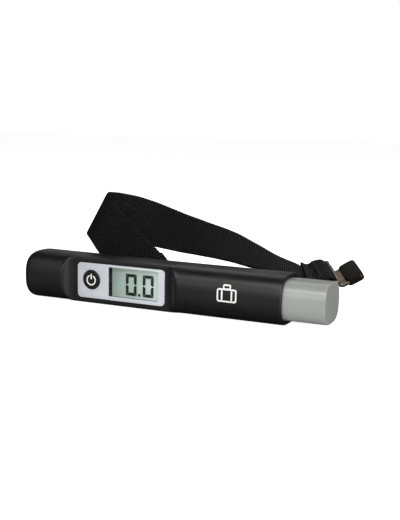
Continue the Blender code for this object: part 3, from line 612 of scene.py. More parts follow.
def lcd_material(x0, x1, z0, z1):
    """Reflective display: pale green, with painted shade darkening it towards its left side and top, and a painted glow
    from emission.
    """
    g = Graph("lcd_reflector_painted_shade_glow")
    v = g.mm()
    x = g.remap(g.axis(v, 0), x0, x1, 0.0, 1.0)
    z = g.remap(g.axis(v, 2), z0 + 11.0, z1 + 11.0, 0.0, 1.0)
    t = g.math('ADD', g.math('MULTIPLY', x, 0.95), g.math('MULTIPLY', z, -0.12), clamp=True)
    # The colour ramp is painted shade: darkest at the left edge (the 0.04 stop) and a little darker towards the top,
    # where the window walls shade the display.
    ramp = g.new("ShaderNodeValToRGB")
    g.link(t, ramp.inputs["Fac"])
    els = ramp.color_ramp.elements
    els[0].position, els[0].color = 0.20, (0.36, 0.44, 0.395, 1)
    els[1].position, els[1].color = 0.78, (0.575, 0.63, 0.62, 1)
    e = els.new(0.04)
    e.color = (0.25, 0.31, 0.28, 1)
    m = els.new(0.40)
    m.color = (0.39, 0.46, 0.435, 1)
    grain = g.noise(v, 14.0, 1.0)
    cloud = g.noise(v, 0.5, 2.0)
    col = g.mix(g.remap(grain, 0.35, 0.7, 0.0, 0.10), ramp.outputs["Color"], (0.8, 0.9, 0.86))
    col = g.mix(g.remap(cloud, 0.4, 0.7, 0.0, 0.08), col, (0.3, 0.42, 0.36))
    # Emission at 0.30 of the colour is a painted glow: the display shines as if lit from within.
    return g.set(Base_Color=col, Roughness=g.remap(grain, 0.3, 0.7, 0.32, 0.42),
                 Normal=g.bump(grain, 1.5e-6), Specular_IOR_Level=0.4,
                 Emission_Color=col, Emission_Strength=0.30)


def clear_material():
    """Clear window: passes light, thin reflection, hairline scratches."""
    g = Graph("clear_window")
    v = g.mm()
    g.nt.nodes.remove(g.bsdf)
    scratch = g.noise(g.stretch(v, (0.4, 1.0, 6.0)), 2.0, 4.0, 0.7)
    gl = g.new("ShaderNodeBsdfGlossy")
    gl.inputs["Roughness"].default_value = 0.06
    g.link(g.remap(scratch, 0.3, 0.75, 0.03, 0.12), gl.inputs["Roughness"])
    gl.inputs["Color"].default_value = (1, 1, 1, 1)
    g.link(g.bump(scratch, 1e-6), gl.inputs["Normal"])
    tr = g.new("ShaderNodeBsdfTransparent")
    tr.inputs["Color"].default_value = (0.975, 0.985, 0.98, 1)
    fr = g.new("ShaderNodeFresnel")
    fr.inputs["IOR"].default_value = 1.35
    mx = g.new("ShaderNodeMixShader")
    g.link(g.math('MULTIPLY', fr.outputs[0], 0.8), mx.inputs[0])
    g.link(tr.outputs[0], mx.inputs[1])
    g.link(gl.outputs[0], mx.inputs[2])
    g.link(mx.outputs[0], g.out.inputs["Surface"])
    return g.mat


M_BODY = moulded("satin_black_abs", (0.0058, 0.0056, 0.0060), 0.42, grain=0.32, depth=7e-6,
                 vary=0.12, wear=0.30, wear_to=(0.05, 0.05, 0.05))
M_GLOSS = moulded("gloss_black_abs", (0.006, 0.006, 0.0066), 0.34, grain=0.5, depth=3e-6,
                  vary=0.2, wear=0.35, wear_to=(0.06, 0.06, 0.06))
M_GRIP = moulded("hook_grip_black", (0.0060, 0.0046, 0.0034), 0.46, grain=0.45, depth=8e-6,
                 vary=0.25, wear=0.5, wear_to=(0.04, 0.033, 0.028), spec=0.08)
# The silver panel's strong edge lightening (wear 0.6 towards near-white) is a painted highlight along its bevelled
# border.
M_PANEL = moulded("silver_panel", (0.54, 0.562, 0.592), 0.42, grain=0.25, depth=4e-6,
                  vary=0.03, wear=0.6, wear_to=(0.86, 0.87, 0.90), spec=0.5)
# Panel colour scaled from 0.82 at its left end to 1.02 at its right: painted shading, lighter on the right where more
# light falls.
nt = M_PANEL.node_tree
bsdf = next(n for n in nt.nodes if n.type == 'BSDF_PRINCIPLED')
was = bsdf.inputs["Base Color"].links[0].from_socket
geo = nt.nodes.new("ShaderNodeTexCoord")
sx = nt.nodes.new("ShaderNodeSeparateXYZ")
nt.links.new(geo.outputs["Object"], sx.inputs[0])
panel_light_falloff = nt.nodes.new("ShaderNodeMapRange")
for key_, val in zip(("From Min", "From Max", "To Min", "To Max"),
                     ((PANEL_X - PANEL_W / 2) * MM, (PANEL_X + PANEL_W / 2) * MM, 0.82, 1.02)):
    panel_light_falloff.inputs[key_].default_value = val
nt.links.new(sx.outputs[0], panel_light_falloff.inputs["Value"])
mul = nt.nodes.new("ShaderNodeVectorMath")
mul.operation = 'SCALE'
nt.links.new(was, mul.inputs[0])
nt.links.new(panel_light_falloff.outputs["Result"], mul.inputs["Scale"])
nt.links.new(mul.outputs[0], bsdf.inputs["Base Color"])
M_INNER = moulded("window_edge_black", (0.006, 0.006, 0.006), 0.55, vary=0.2)
M_PAINT = painted("grey_lacquer", (0.292, 0.301, 0.297), 0.32)
M_STEEL = brushed("plain_steel", (0.56, 0.55, 0.53))
M_ZINC = brushed("zinc_screw", (0.62, 0.61, 0.56), 0.34, along=(2, 0.2, 2), tint=(0.40, 0.38, 0.31))
M_HOOK = brushed("hook_nickel", (0.27, 0.215, 0.18), 0.38, along=(0.4, 0.4, 3.0), depth=8e-6,
                 tint=(0.16, 0.12, 0.095), wear=0.5)
M_ALU = brushed("milled_aluminium", (0.72, 0.73, 0.74), 0.36, along=(0.2, 3, 3), depth=6e-6)
M_WEB = webbing_material("woven_webbing", (0.0038, 0.0036, 0.0037), 1.0)
M_THREAD = moulded("sewing_thread", (0.009, 0.009, 0.0095), 0.8, grain=0.12, depth=3e-5, vary=0.4,
                   wear=0.0)
M_BOARD = board_material()
M_WHITE = moulded("white_moulding", (0.74, 0.74, 0.71), 0.5, vary=0.05, wear=0.1)
M_RUBBER = moulded("contact_rubber", (0.06, 0.06, 0.065), 0.8, grain=0.2, depth=2e-5)
M_EPOXY = moulded("potting_epoxy", (0.011, 0.011, 0.011), 0.35, grain=1.2, depth=2e-5, vary=0.3)
M_RED = moulded("red_insulation", (0.42, 0.02, 0.018), 0.45, grain=0.4, vary=0.15)
M_FILM = moulded("gauge_film", (0.50, 0.27, 0.07), 0.35, grain=0.3, vary=0.2)
M_CELLCAN = brushed("cell_can", (0.64, 0.64, 0.65), 0.25, along=(2.5, 0.25, 1.0))
M_INK = moulded("printed_white", (0.78, 0.78, 0.76), 0.5, grain=0.2, depth=3e-6, vary=0.04,
                wear=0.15, wear_to=(0.5, 0.5, 0.5))
M_SEGMENT = moulded("lcd_segment", (0.010, 0.020, 0.014), 0.35, grain=0.3, depth=1e-6, vary=0.25,
                    wear=0.0)
M_LCD = lcd_material(glass_lo.x, glass_hi.x, glass_lo.z, glass_hi.z)
M_CLEAR = clear_material()

# ---------------------------------------------------------------------------
# housing
# ---------------------------------------------------------------------------
SLOPE = 3.45 / RECESS_RUN
SLOPE_LEFT = 3.45 / 3.3
N_RING = 168


def recess_y(x):
    y = smin(FLAT_Y, FLAT_Y - (FLAT_X[0] - x) * SLOPE_LEFT, 1.3)
    return smin(y, FLAT_Y - (x - FLAT_X[1]) * SLOPE, 1.5)


SECTIONS = {}


def section(h, d, power):
    key_ = (round(h, 4), round(d, 4), power)
    if key_ not in SECTIONS:
        SECTIONS[key_] = squircle(h, d, N_RING, power)
    return SECTIONS[key_]


def outer_ring(x, inset=0.0):
    """Tube section; squarer at the recess, a touch taller towards the dome."""
    ring = []
    deep = min(1.0, max(0.0, (recess_y(x) + HALF_D) / (FLAT_Y + HALF_D)))
    plain = section(HALF_H - inset, HALF_D - inset, POWER)
    front = section(HALF_H - inset, HALF_D - inset, round(POWER + 1.8 * deep, 2)) if deep > 0.01 else plain
    below = section(HALF_H - inset, HALF_D - inset, round(POWER + 0.7 * deep, 2)) if deep > 0.01 else plain
    rise = 1.0 + 0.045 * min(1.0, max(0.0, -x / 77.0))
    for back, fore, under in zip(plain, front, below):
        y, z = back if back[0] >= 0 else (fore if back[1] > 0 else under)
        if y < 0:
            y = smax(y, recess_y(x), 0.9)
        ring.append((x, y, max(z * rise if z > 0 else z, -11.0)))
    return ring


def stations():
    xs = []
    for k in range(9):                       # domed end
        a = math.pi / 2 * (1 - k / 8)
        xs.append((TUBE_X0 + END_ROUND * (1 - math.sin(a)), END_ROUND * (1 - math.cos(a))))
    x = xs[-1][0]

    def walk(to, step):
        nonlocal x
        n = max(1, int(round((to - x) / step)))
        for i in range(1, n + 1):
            xs.append((x + (to - x) * i / n, 0.0))
        x = to
    walk(-57.0, 2.2)
    walk(-47.6, 0.32)
    walk(0.0, 4.0)
    walk(9.0, 0.32)
    walk(TUBE_X1 - 0.9, 3.0)
    for k in range(1, 6):                    # rounded rim of the open end
        a = math.pi / 2 * k / 5
        xs.append((TUBE_X1 - 0.9 * (1 - math.sin(a)), 0.9 * (1 - math.cos(a))))
    return xs


def body_solid():
    return loft([outer_ring(x, inset) for x, inset in stations()])


def cavity_solid(wall=WALL):
    rings = []
    h, d = HALF_H - wall, HALF_D - wall
    x0 = TUBE_X0 + 2.0
    sect = squircle(h, d, 96)
    small = squircle(h - 2.2, d - 2.2, 96)
    rings.append([(x0, y, z) for y, z in small])
    stops = [(x0 + 2.2, -99), (-55.4, -99), (-55.1, INNER_Y), (7.5, INNER_Y), (7.8, -99),
             (TUBE_X1 - 0.5, -99)]
    for x, lim in stops:
        rings.append([(x, max(y, lim), z) for y, z in sect])
    flare = squircle(h + 0.25, d + 0.25, 96)
    rings.append([(TUBE_X1 + 0.05, y, z) for y, z in flare])
    rings.append([(TUBE_X1 + 3.0, y, z) for y, z in flare])
    return loft(rings)


load_block = box_mesh((9.4, -20, -4.6), (22.6, -0.9, 4.6))
cavity = cut(cavity_solid(), [load_block])


def facing(loops, y0, y1, edge=0.0):
    """Outline on the display face, between depths y0 and y1."""
    return plate(loops, -y0, -y1, XZ, edge)


front_tools = [
    cavity,
    box_mesh((BACK_X[0] - GAP, BACK_Y - GAP, -20), (BACK_X[1] + GAP, 20, 20)),
    facing([rounded_rect(PANEL_X, PANEL_Z, PANEL_W + 2 * GAP, PANEL_H + 2 * GAP, 2.2)],
           -14, PANEL_BACK + GAP),
    facing([rounded_rect(WINDOW[0], WINDOW[1], WINDOW[2] + 1.6, WINDOW[3] + 1.4, 0.8)], -14, -5.2),
    facing([circle(BUTTON[0], BUTTON[1], BUTTON_R + GAP)], -15, -5.2),
]
show("housing_front", cut(body_solid(), front_tools), M_BODY, "housing",
     replaces=["front_shell"], smooth=28)

# rear cover: same skin, cut out of the back, with a rounded strap slot
slot_rings = []
for k in range(7):
    a = math.pi / 2 * k / 6
    o = 1.0 * (1 - math.cos(a))
    slot_rings.append((HALF_D - 1.0 + 1.0 * math.sin(a), o))
slot_rings = [(4.0, 0.0)] + slot_rings + [(HALF_D + 2.0, 1.0)]
slot_tool = loft([[(px, y, pz) for px, pz in
                   rounded_rect(SLOT_X, 0, 2 * 16.4 + 2 * o, 10.0 + 2 * o, 3.0 + o, 8)]
                  for y, o in slot_rings])
rear = cut(body_solid(), [box_mesh((BACK_X[0], BACK_Y, -20), (BACK_X[1], 20, 20))], 'INTERSECT')
rear_tools = [cavity_solid(), slot_tool]
for px, pz in POSTS_REAR:
    bore = [(0.0, 20.0), (2.35, 20.0), (2.35, 12.3), (2.0, 11.95), (2.0, 11.2), (1.2, 11.2), (1.2, 5.0), (0.0, 5.0)]
    rear_tools.append(lathe(bore, (px, 0, pz), (0, 1, 0), 32))
show("housing_rear", cut(rear, rear_tools), M_BODY, "housing",
     replaces=["rear_cover"], smooth=28)


def cross_screw(x, z, y_head, y_tip, r, r_head, h_head):
    """Pan-head screw with a cross recess, head towards +Y."""
    prof = fillet([(0.0, y_head + h_head), (r_head * 0.8, y_head + h_head * 0.96),
                   (r_head, y_head + h_head * 0.45), (r_head, y_head), (r, y_head)],
                  [0, 0.25, 0.25, 0.1, 0], 3)
    y = y_head - 0.2
    thread = []
    while y > y_tip + 1.4:                   # rolled thread
        thread += [(r, y), (r * 0.80, y - 0.18), (r, y - 0.36)]
        y -= 0.5
    prof += thread + [(r * 0.75, y_tip + 1.0), (0.0, y_tip)]
    body = lathe(prof, (x, 0, z), (0, 1, 0), 32)
    t = y_head + h_head
    arms = [box_mesh((x - r_head * 0.62, t - 0.45, z - 0.17), (x + r_head * 0.62, t + 1, z + 0.17)),
            box_mesh((x - 0.17, t - 0.45, z - r_head * 0.62), (x + 0.17, t + 1, z + r_head * 0.62))]
    return cut(body, arms)


for k, (px, pz) in enumerate(POSTS_REAR, 1):
    show(f"cover_screw_{k}", cross_screw(px, pz, 11.5, 4.0, 0.9, 1.7, 0.9), M_ZINC, "housing",
         replaces=[f"housing_screw_{k}"])

# ---------------------------------------------------------------------------
# panel, button, display
# ---------------------------------------------------------------------------
bezel = plate([rounded_rect(PANEL_X, PANEL_Z, PANEL_W, PANEL_H, 2.0, 14),
               rounded_rect(WINDOW[0], WINDOW[1], WINDOW[2], WINDOW[3], 0.45, 6),
               circle(BUTTON[0], BUTTON[1], BUTTON_R + 0.16, 96)],
              -PANEL_FRONT, -PANEL_BACK, XZ, 0.14, 2)
# the cut sides of the window and the button hole are coloured black
core = bpy.data.meshes.new("core")
bm = bmesh.new()
bm.from_mesh(bezel)
bpy.data.meshes.remove(bezel)
for f in bm.faces:
    c = f.calc_center_median()
    if abs(f.normal.y) < 0.3:
        inside_w = abs(c.x - WINDOW[0]) < WINDOW[2] / 2 + 0.3 and abs(c.z - WINDOW[1]) < WINDOW[3] / 2 + 0.3
        inside_b = math.hypot(c.x - BUTTON[0], c.z - BUTTON[1]) < BUTTON_R + 1.0
        if inside_w or inside_b:
            f.material_index = 1
bm.to_mesh(core)
bm.free()
show("display_panel", core, None, "housing", replaces=["display_bezel"],
     smooth=40, mats=[M_PANEL, M_INNER])

face = button_lo.y
show("tare_button", lathe(fillet([(0.0, -6.0), (1.5, -6.0), (1.5, -6.4), (5.6, -6.4), (5.6, -7.0),
                                  (BUTTON_R, -7.0), (BUTTON_R, face + 0.02), (BUTTON_R - 1.1, face + 0.04),
                                  (0.0, face + 0.16)], [0, 0.1, 0.1, 0.1, 0.1, 0.15, 0.45, 1.0, 0], 5),
                          (BUTTON[0], 0, BUTTON[1]), (0, 1, 0), 96),
     M_GLOSS, "button", replaces=["unit_tare_button"])


def arc_band(cx, cy, r, w, a0, a1, seg=40):
    """Ring segment with rounded ends, as an outline."""
    pts = []
    for k in range(seg + 1):
        a = math.radians(a0 + (a1 - a0) * k / seg)
        pts.append((cx + (r + w / 2) * math.cos(a), cy + (r + w / 2) * math.sin(a)))
    e = math.radians(a1)
    ex, ey = cx + r * math.cos(e), cy + r * math.sin(e)
    for k in range(1, 8):
        a = e + math.pi * k / 8
        pts.append((ex + w / 2 * math.cos(a), ey + w / 2 * math.sin(a)))
    for k in range(seg + 1):
        a = math.radians(a1 + (a0 - a1) * k / seg)
        pts.append((cx + (r - w / 2) * math.cos(a), cy + (r - w / 2) * math.sin(a)))
    s = math.radians(a0)
    ex, ey = cx + r * math.cos(s), cy + r * math.sin(s)
    for k in range(1, 8):
        a = s + math.pi + math.pi * k / 8
        pts.append((ex + w / 2 * math.cos(a), ey + w / 2 * math.sin(a)))
    return pts


# generic on/off pictogram: open ring and a bar
icon_ring = facing([arc_band(BUTTON[0], BUTTON[1] - 0.15, 2.25, 0.62, 122, 418)], face - 0.02, face + 0.14)
icon_bar = facing([rounded_rect(BUTTON[0], BUTTON[1] + 1.55, 0.66, 2.7, 0.32, 6)], face - 0.02, face + 0.14)
show("button_mark_ring", icon_ring, M_INK, "button")
show("button_mark_bar", icon_bar, M_INK, "button")

show("display_window", plate([rounded_rect((lens_lo.x + lens_hi.x) / 2, (lens_lo.z + lens_hi.z) / 2,
                                           lens_hi.x - lens_lo.x, lens_hi.z - lens_lo.z, 0.5, 6)],
                             -lens_lo.y, -lens_hi.y, XZ, 0.12, 2),
     M_CLEAR, "housing", replaces=["lcd_lens"])
show("display_glass", plate([rounded_rect((glass_lo.x + glass_hi.x) / 2, (glass_lo.z + glass_hi.z) / 2,
                                          glass_hi.x - glass_lo.x, glass_hi.z - glass_lo.z, 0.3, 4)],
                            -glass_lo.y, -glass_hi.y, XZ, 0.08, 1),
     M_LCD, "housing", replaces=["lcd_glass"])


# black sheet just in front of the display glass, reaching in at the window's left and top edges: painted shade standing
# in for the window walls' shadow
show("display_painted_shadow_mask", plate([rounded_rect((glass_lo.x + glass_hi.x) / 2, (glass_lo.z + glass_hi.z) / 2,
                                         glass_hi.x - glass_lo.x - 0.1, glass_hi.z - glass_lo.z - 0.1, 0.3, 4),
                            rounded_rect(WINDOW[0] + 0.35, WINDOW[1] - 0.35, WINDOW[2] - 0.5, WINDOW[3] - 0.1, 0.4, 4)],
                           -(glass_lo.y - 0.09), -(glass_lo.y - 0.02), XZ),
     M_INNER, "housing")


def digit(x0, x1, z0, z1, t, on, gap=0.10):
    """Seven-segment digit as a list of outlines."""
    zm = (z0 + z1) / 2
    g = gap
    seg = {
        "a": [(x0 + g, z1), (x1 - g, z1), (x1 - t, z1 - t), (x0 + t, z1 - t)],
        "d": [(x0 + g, z0), (x0 + t, z0 + t), (x1 - t, z0 + t), (x1 - g, z0)],
        "f": [(x0, z1 - g), (x0 + t, z1 - t - g), (x0 + t, zm + 0.5 * t), (x0 + 0.35 * t, zm + g),
              (x0, zm + 0.35 * t)],
        "b": [(x1, z1 - g), (x1, zm + 0.35 * t), (x1 - 0.35 * t, zm + g), (x1 - t, zm + 0.5 * t),
              (x1 - t, z1 - t - g)],
        "e": [(x0, z0 + g), (x0, zm - 0.35 * t), (x0 + 0.35 * t, zm - g), (x0 + t, zm - 0.5 * t),
              (x0 + t, z0 + t + g)],
        "c": [(x1, z0 + g), (x1 - t, z0 + t + g), (x1 - t, zm - 0.5 * t), (x1 - 0.35 * t, zm - g),
              (x1, zm - 0.35 * t)],
        "g": [(x0 + t + g, zm), (x0 + 1.4 * t, zm + t / 2), (x1 - 1.4 * t, zm + t / 2),
              (x1 - t - g, zm), (x1 - 1.4 * t, zm - t / 2), (x0 + 1.4 * t, zm - t / 2)],
    }
    return [seg[s] for s in on]


LIT_Y = (glass_lo.y - 0.05, glass_lo.y - 0.01)
loops = digit(-21.95, -16.15, -5.35, 4.95, 1.5, "abcdef") + digit(-12.95, -7.2, -5.35, 5.05, 1.5, "abcdef")
loops.append(rounded_rect(-14.8, -4.75, 1.2, 1.2, 0.1, 2))
show("display_reading", facing(loops, *LIT_Y), M_SEGMENT, "housing")

# ---------------------------------------------------------------------------
# generic pictogram printed on the tube: a small suitcase
# ---------------------------------------------------------------------------
def front_y(z):
    return -HALF_D * (1 - (abs(z) / HALF_H) ** POWER) ** (1 / POWER)


def printed(loops, dx, dz):
    mesh = facing([[(x + dx, z + dz) for x, z in lp] for lp in loops], 0.0, 0.06)
    bm = bmesh.new()
    bm.from_mesh(mesh)
    bpy.data.meshes.remove(mesh)
    z = -6.0
    while z < 8.0:
        geom = bm.verts[:] + bm.edges[:] + bm.faces[:]
        bmesh.ops.bisect_plane(bm, geom=geom, plane_co=(0, 0, z), plane_no=(0, 0, 1), dist=1e-4)
        z += 0.7
    for v in bm.verts:
        v.co.y += front_y(v.co.z) - 0.045
    return close(bm)


case = [rounded_rect(0, -0.6, 9.4, 6.0, 1.1, 6),
        rounded_rect(0, -0.6, 8.0, 4.6, 0.6, 6)]
handle = [rounded_rect(0, 3.2, 3.8, 2.2, 0.8, 6), rounded_rect(0, 3.1, 2.5, 1.0, 0.3, 6)]
bars = [rounded_rect(-2.3, -0.6, 0.75, 4.3, 0.2, 3), rounded_rect(2.3, -0.6, 0.75, 4.3, 0.2, 3)]
for label, shape in (("case", case), ("handle", handle), ("strap_left", bars[:1]), ("strap_right", bars[1:])):
    show(f"print_{label}", printed(shape, 32.0, 1.6), M_INK, "housing")

# ---------------------------------------------------------------------------
# battery drawer
# ---------------------------------------------------------------------------
DH, DD = drawer_hi.z, drawer_hi.y
cap_rings = []
for x in (49.0, 52.0, 56.0, 60.0, 64.0, 68.0, 71.5, drawer_hi.x - 0.55):
    cap_rings.append([(x, y, z) for y, z in squircle(DH, DD, 168)])
for k in range(1, 7):
    a = math.pi / 2 * k / 6
    i = 0.5 * (1 - math.cos(a))
    cap_rings.append([(drawer_hi.x - 0.5 * (1 - math.sin(a)), y, z)
                      for y, z in squircle(DH - i, DD - i, 168)])
cap = loft(cap_rings)
hollow = loft([[(x, y, z) for y, z in squircle(DH - 1.6, DD - 1.6, 96)] for x in (40.0, 60.0, drawer_hi.x - 1.8)])
tray = plate([fillet([(26.0, -8.0), (26.0, -3.2), (44.0, -3.2), (44.0, 3.2), (26.0, 3.2), (26.0, 8.0),
                      (29.0, 9.35), (62.0, 9.35), (62.0, -9.35), (29.0, -9.35), (26.0, -8.0)], 0.6, 3)[:-1]],
             -3.4, -2.0, XY, 0.12, 1)
cap = cut(cap, [hollow])
cap = cut(cap, [tray, box_mesh((26.0, -8.0, -2.6), (27.4, -3.2, 1.4)),
                box_mesh((26.0, 3.2, -2.6), (27.4, 8.0, 1.4))], 'UNION')
show("drawer_shell", cap, M_PAINT, "drawer", replaces=["battery_drawer"], smooth=30)

# ---------------------------------------------------------------------------
# strap: woven webbing on the CAD strap's own centre line
# ---------------------------------------------------------------------------
HOOK_B = Vector((0.477, -0.860, -0.180)).normalized()
HOOK_H = Vector((0, 0, 1)).cross(HOOK_B).normalized()
HOOK_H = Matrix.Rotation(math.radians(8.8), 3, HOOK_B) @ HOOK_H
HOOK_K = HOOK_B.cross(HOOK_H)
BAR = Vector((61.2, 34.3, 6.65))
PIN = Vector((SLOT_X, PIN_Y, 0.0))
LAYER = WEB_T + GAP
R_PIN = PIN_R + GAP + 0.05 + WEB_T / 2
R_BAR = 1.37 + WEB_T / 2
STATIONS = [
    ((SLOT_X, PIN_Y, R_PIN), (1, 0, 0)),
    ((SLOT_X, 12.2, 2.0), (1, 0, 0)),
    ((SLOT_X - 2.2, 15.6, 2.9), (0.96, 0, 0.26)),
    ((-30.2, 17.4, 7.6), (0.76, 0, 0.65)),
    ((-37.3, 17.9, 12.8), (0.66, 0, 0.75)),
    ((-44.5, 18.0, 19.2), (0.60, 0, 0.80)),
    ((-50.3, 18.3, 25.7), (0.54, 0, 0.84)),
    ((-54.4, 20.6, 28.9), (0.50, 0, 0.87)),
    ((-52.6, 25.8, 28.2), (0.36, 0.14, 0.92)),
    ((-47.0, 29.6, 27.0), (0.15, 0.30, 0.94)),
    ((-38.5, 30.9, 26.0), (0.02, 0.44, 0.90)),
    ((-26.0, 31.4, 24.0), (-0.10, 0.60, 0.79)),
    ((-11.0, 31.2, 21.0), (-0.227, 0.704, 0.676)),
    ((2.2, 31.0, 18.8), (-0.247, 0.797, 0.554)),
    ((15.0, 31.2, 16.3), (-0.25, 0.86, 0.45)),
    ((27.7, 31.2, 12.6), (-0.27, 0.91, 0.31)),
    ((39.5, 30.7, 9.6), (-0.33, 0.93, 0.16)),
    ((48.6, 30.5, 7.3), (-0.38, 0.92, 0.13)),
]


def spline(points, t):
    i = min(int(t), len(points) - 2)
    u = t - i
    p1, p2 = points[i], points[i + 1]
    p0 = points[i - 1] if i else p1 * 2 - p2
    p3 = points[i + 2] if i + 2 < len(points) else p2 * 2 - p1
    return 0.5 * ((p1 * 2) + (p2 - p0) * u + (p0 * 2 - p1 * 5 + p2 * 4 - p3) * u * u
                  + (p1 * 3 - p0 - p2 * 3 + p3) * u ** 3)


def resample(path, step):
    """(centre, width) pairs at even spacing along the centre line."""
    run = [0.0]
    for (a, _), (b, _) in zip(path, path[1:]):
        run.append(run[-1] + (b - a).length)
    count = int(round(run[-1] / step))
    out, j = [], 0
    for k in range(count + 1):
        want = run[-1] * k / count
        while j < len(run) - 2 and run[j + 1] < want:
            j += 1
        t = (want - run[j]) / max(run[j + 1] - run[j], 1e-9)
        c = path[j][0].lerp(path[j + 1][0], t)
        w = path[j][1].lerp(path[j + 1][1], t).normalized()
        out.append((c, w))
    return out


def path_normals(path):
    out = []
    for k, (c, w) in enumerate(path):
        a = path[max(k - 1, 0)][0]
        b = path[min(k + 1, len(path) - 1)][0]
        out.append((b - a).normalized().cross(w).normalized())
    return out


def return_layer(frames, r, length, hold):
    out = []
    dist = 0.0
    for k, ((c, w), n) in enumerate(frames):
        if k:
            dist += (c - frames[k - 1][0][0]).length
        if dist > length:
            break
        ease = min(max(dist - hold, 0.0) / 6.0, 1.0)
        ease = ease * ease * (3 - 2 * ease)
        out.append((c + n * (2 * r + (LAYER - 2 * r) * ease), w))
    return out


end_main = BAR - HOOK_K * R_BAR + HOOK_H * 0.6
centres = [Vector(c) for c, _ in STATIONS] + [end_main - HOOK_H * 5.5 + HOOK_K * 0.1, end_main]
widths = [Vector(w).normalized() for _, w in STATIONS] + [-HOOK_B, -HOOK_B]
fine = [(spline(centres, t / 40), spline(widths, t / 40).normalized())
        for t in range(40 * (len(centres) - 1) + 1)]
main = resample(fine, 0.5)
main_n = path_normals(main)
pairs = list(zip(main, main_n))
root = return_layer(pairs, R_PIN, 15.0, 1.2)
tail = return_layer(pairs[::-1], R_BAR, 12.0, 3.0)
wrap_root = [(PIN + Vector((0, -math.sin(a), -math.cos(a))) * R_PIN, Vector((1, 0, 0)))
             for a in [math.pi * k / 14 for k in range(1, 14)]]
centre_tail = BAR + HOOK_H * 0.6
wrap_tail = [(centre_tail + (HOOK_H * math.sin(a) - HOOK_K * math.cos(a)) * R_BAR, -HOOK_B)
             for a in [math.pi * k / 14 for k in range(1, 14)]]
RIB = 1.0                                    # one pick of the weave
PER_RIB = 6
band = resample(root[::-1] + wrap_root + main + wrap_tail + tail, RIB / PER_RIB)
band_n = path_normals(band)
LEN_ROOT = sum((b[0] - a[0]).length for a, b in zip(root, root[1:]))
LEN_TAIL = sum((b[0] - a[0]).length for a, b in zip(tail, tail[1:]))
LEN_ALL = RIB / PER_RIB * (len(band) - 1)

COLS = [-1.0, -0.985, -0.955, -0.90, -0.78, -0.6, -0.4, -0.2, 0.0,
        0.2, 0.4, 0.6, 0.78, 0.90, 0.955, 0.985, 1.0]


def half_thickness(u):
    """Webbing is full in the middle and rounds off at its selvedge."""
    a = abs(u)
    if a > 0.985:
        return 0.34
    if a > 0.95:
        return 0.55
    return 0.62


def webbing_mesh():
    bm = bmesh.new()
    uv = bm.loops.layers.uv.new("band")
    rows = []
    for k, ((c, w), n) in enumerate(zip(band, band_n)):
        s = k * RIB / PER_RIB
        rib = math.cos(2 * math.pi * k / PER_RIB)
        # edge: each pick turns round the outermost yarn and scallops it
        edge = WEB_W / 2 - 0.10 + 0.10 * rib
        drift = 0.10 * math.sin(s * 0.21) + 0.06 * math.sin(s * 0.53 + 1.0)
        top, bottom = [], []
        for u in COLS:
            t = half_thickness(u)
            p = c + w * (u * edge)
            # selvedge lifts a little here and there, as webbing does
            lift = n * (drift * 0.5 * abs(u) ** 4)
            top.append((bm.verts.new(p + n * (t + 0.12 * rib) + lift), s, u * WEB_W / 2))
            bottom.append((bm.verts.new(p - n * (t - 0.12 * rib) + lift), s, u * WEB_W / 2))
        rows.append((top, bottom))

    def quad(a, b, c, d):
        f = bm.faces.new((a[0], b[0], c[0], d[0]))
        for lp, q in zip(f.loops, (a, b, c, d)):
            lp[uv].uv = (q[1], q[2])
    for (t0, b0), (t1, b1) in zip(rows, rows[1:]):
        for i in range(len(COLS) - 1):
            quad(t0[i], t1[i], t1[i + 1], t0[i + 1])
            quad(b0[i], b0[i + 1], b1[i + 1], b1[i])
        quad(t0[0], b0[0], b1[0], t1[0])
        quad(t0[-1], t1[-1], b1[-1], b0[-1])
    for (t, b) in (rows[0], rows[-1]):
        for i in range(len(COLS) - 1):
            quad(t[i], t[i + 1], b[i + 1], b[i])
    return close(bm)


strap_piece = show("webbing_strap", webbing_mesh(), M_WEB, "strap_body", replaces=["strap"],
                   smooth=60)


def at(s):
    k = min(max(int(round(s * PER_RIB / RIB)), 1), len(band) - 2)
    c, w = band[k]
    t = (band[k + 1][0] - band[k - 1][0]).normalized()
    return c, w, t, band_n[k]


def stitch_line(p, q, side, out, pitch=2.3):
    """Thread between two (s, w) points on one face of the band."""
    length = math.hypot(q[0] - p[0], q[1] - p[1])
    count = max(1, int(round(length / pitch)))
    for k in range(count):
        pts = []
        for f, h in ((0.06, -0.12), (0.22, 0.15), (0.5, 0.22), (0.78, 0.15), (0.94, -0.12)):
            t = (k + f) / count
            s = p[0] + (q[0] - p[0]) * t
            w = p[1] + (q[1] - p[1]) * t
            c, wd, tg, n = at(s)
            pts.append(c + wd * w + n * side * (0.70 + h))
        out.append(wire(pts, 0.27, res=2))


def join_meshes(meshes):
    bm = bmesh.new()
    for m in meshes:
        bm.from_mesh(m)
        bpy.data.meshes.remove(m)
    return close(bm)


def sewn_box(s0, s1, half, side, out):
    for p, q in (((s0, -half), (s0, half)), ((s1, -half), (s1, half)), ((s0, -half), (s1, -half)),
                 ((s0, half), (s1, half)), ((s0, -half), (s1, half)), ((s0, half), (s1, -half))):
        stitch_line(p, q, side, out)


threads = []
sewn_box(LEN_ALL - 1.6, LEN_ALL - 7.2, 9.8, -1, threads)
show("strap_stitching_hook_end", join_meshes(threads), M_THREAD, "strap_body", smooth=70)
threads = []
sewn_box(1.6, 6.8, 9.8, -1, threads)
show("strap_stitching_pin_end", join_meshes(threads), M_THREAD, "strap_body", smooth=70)

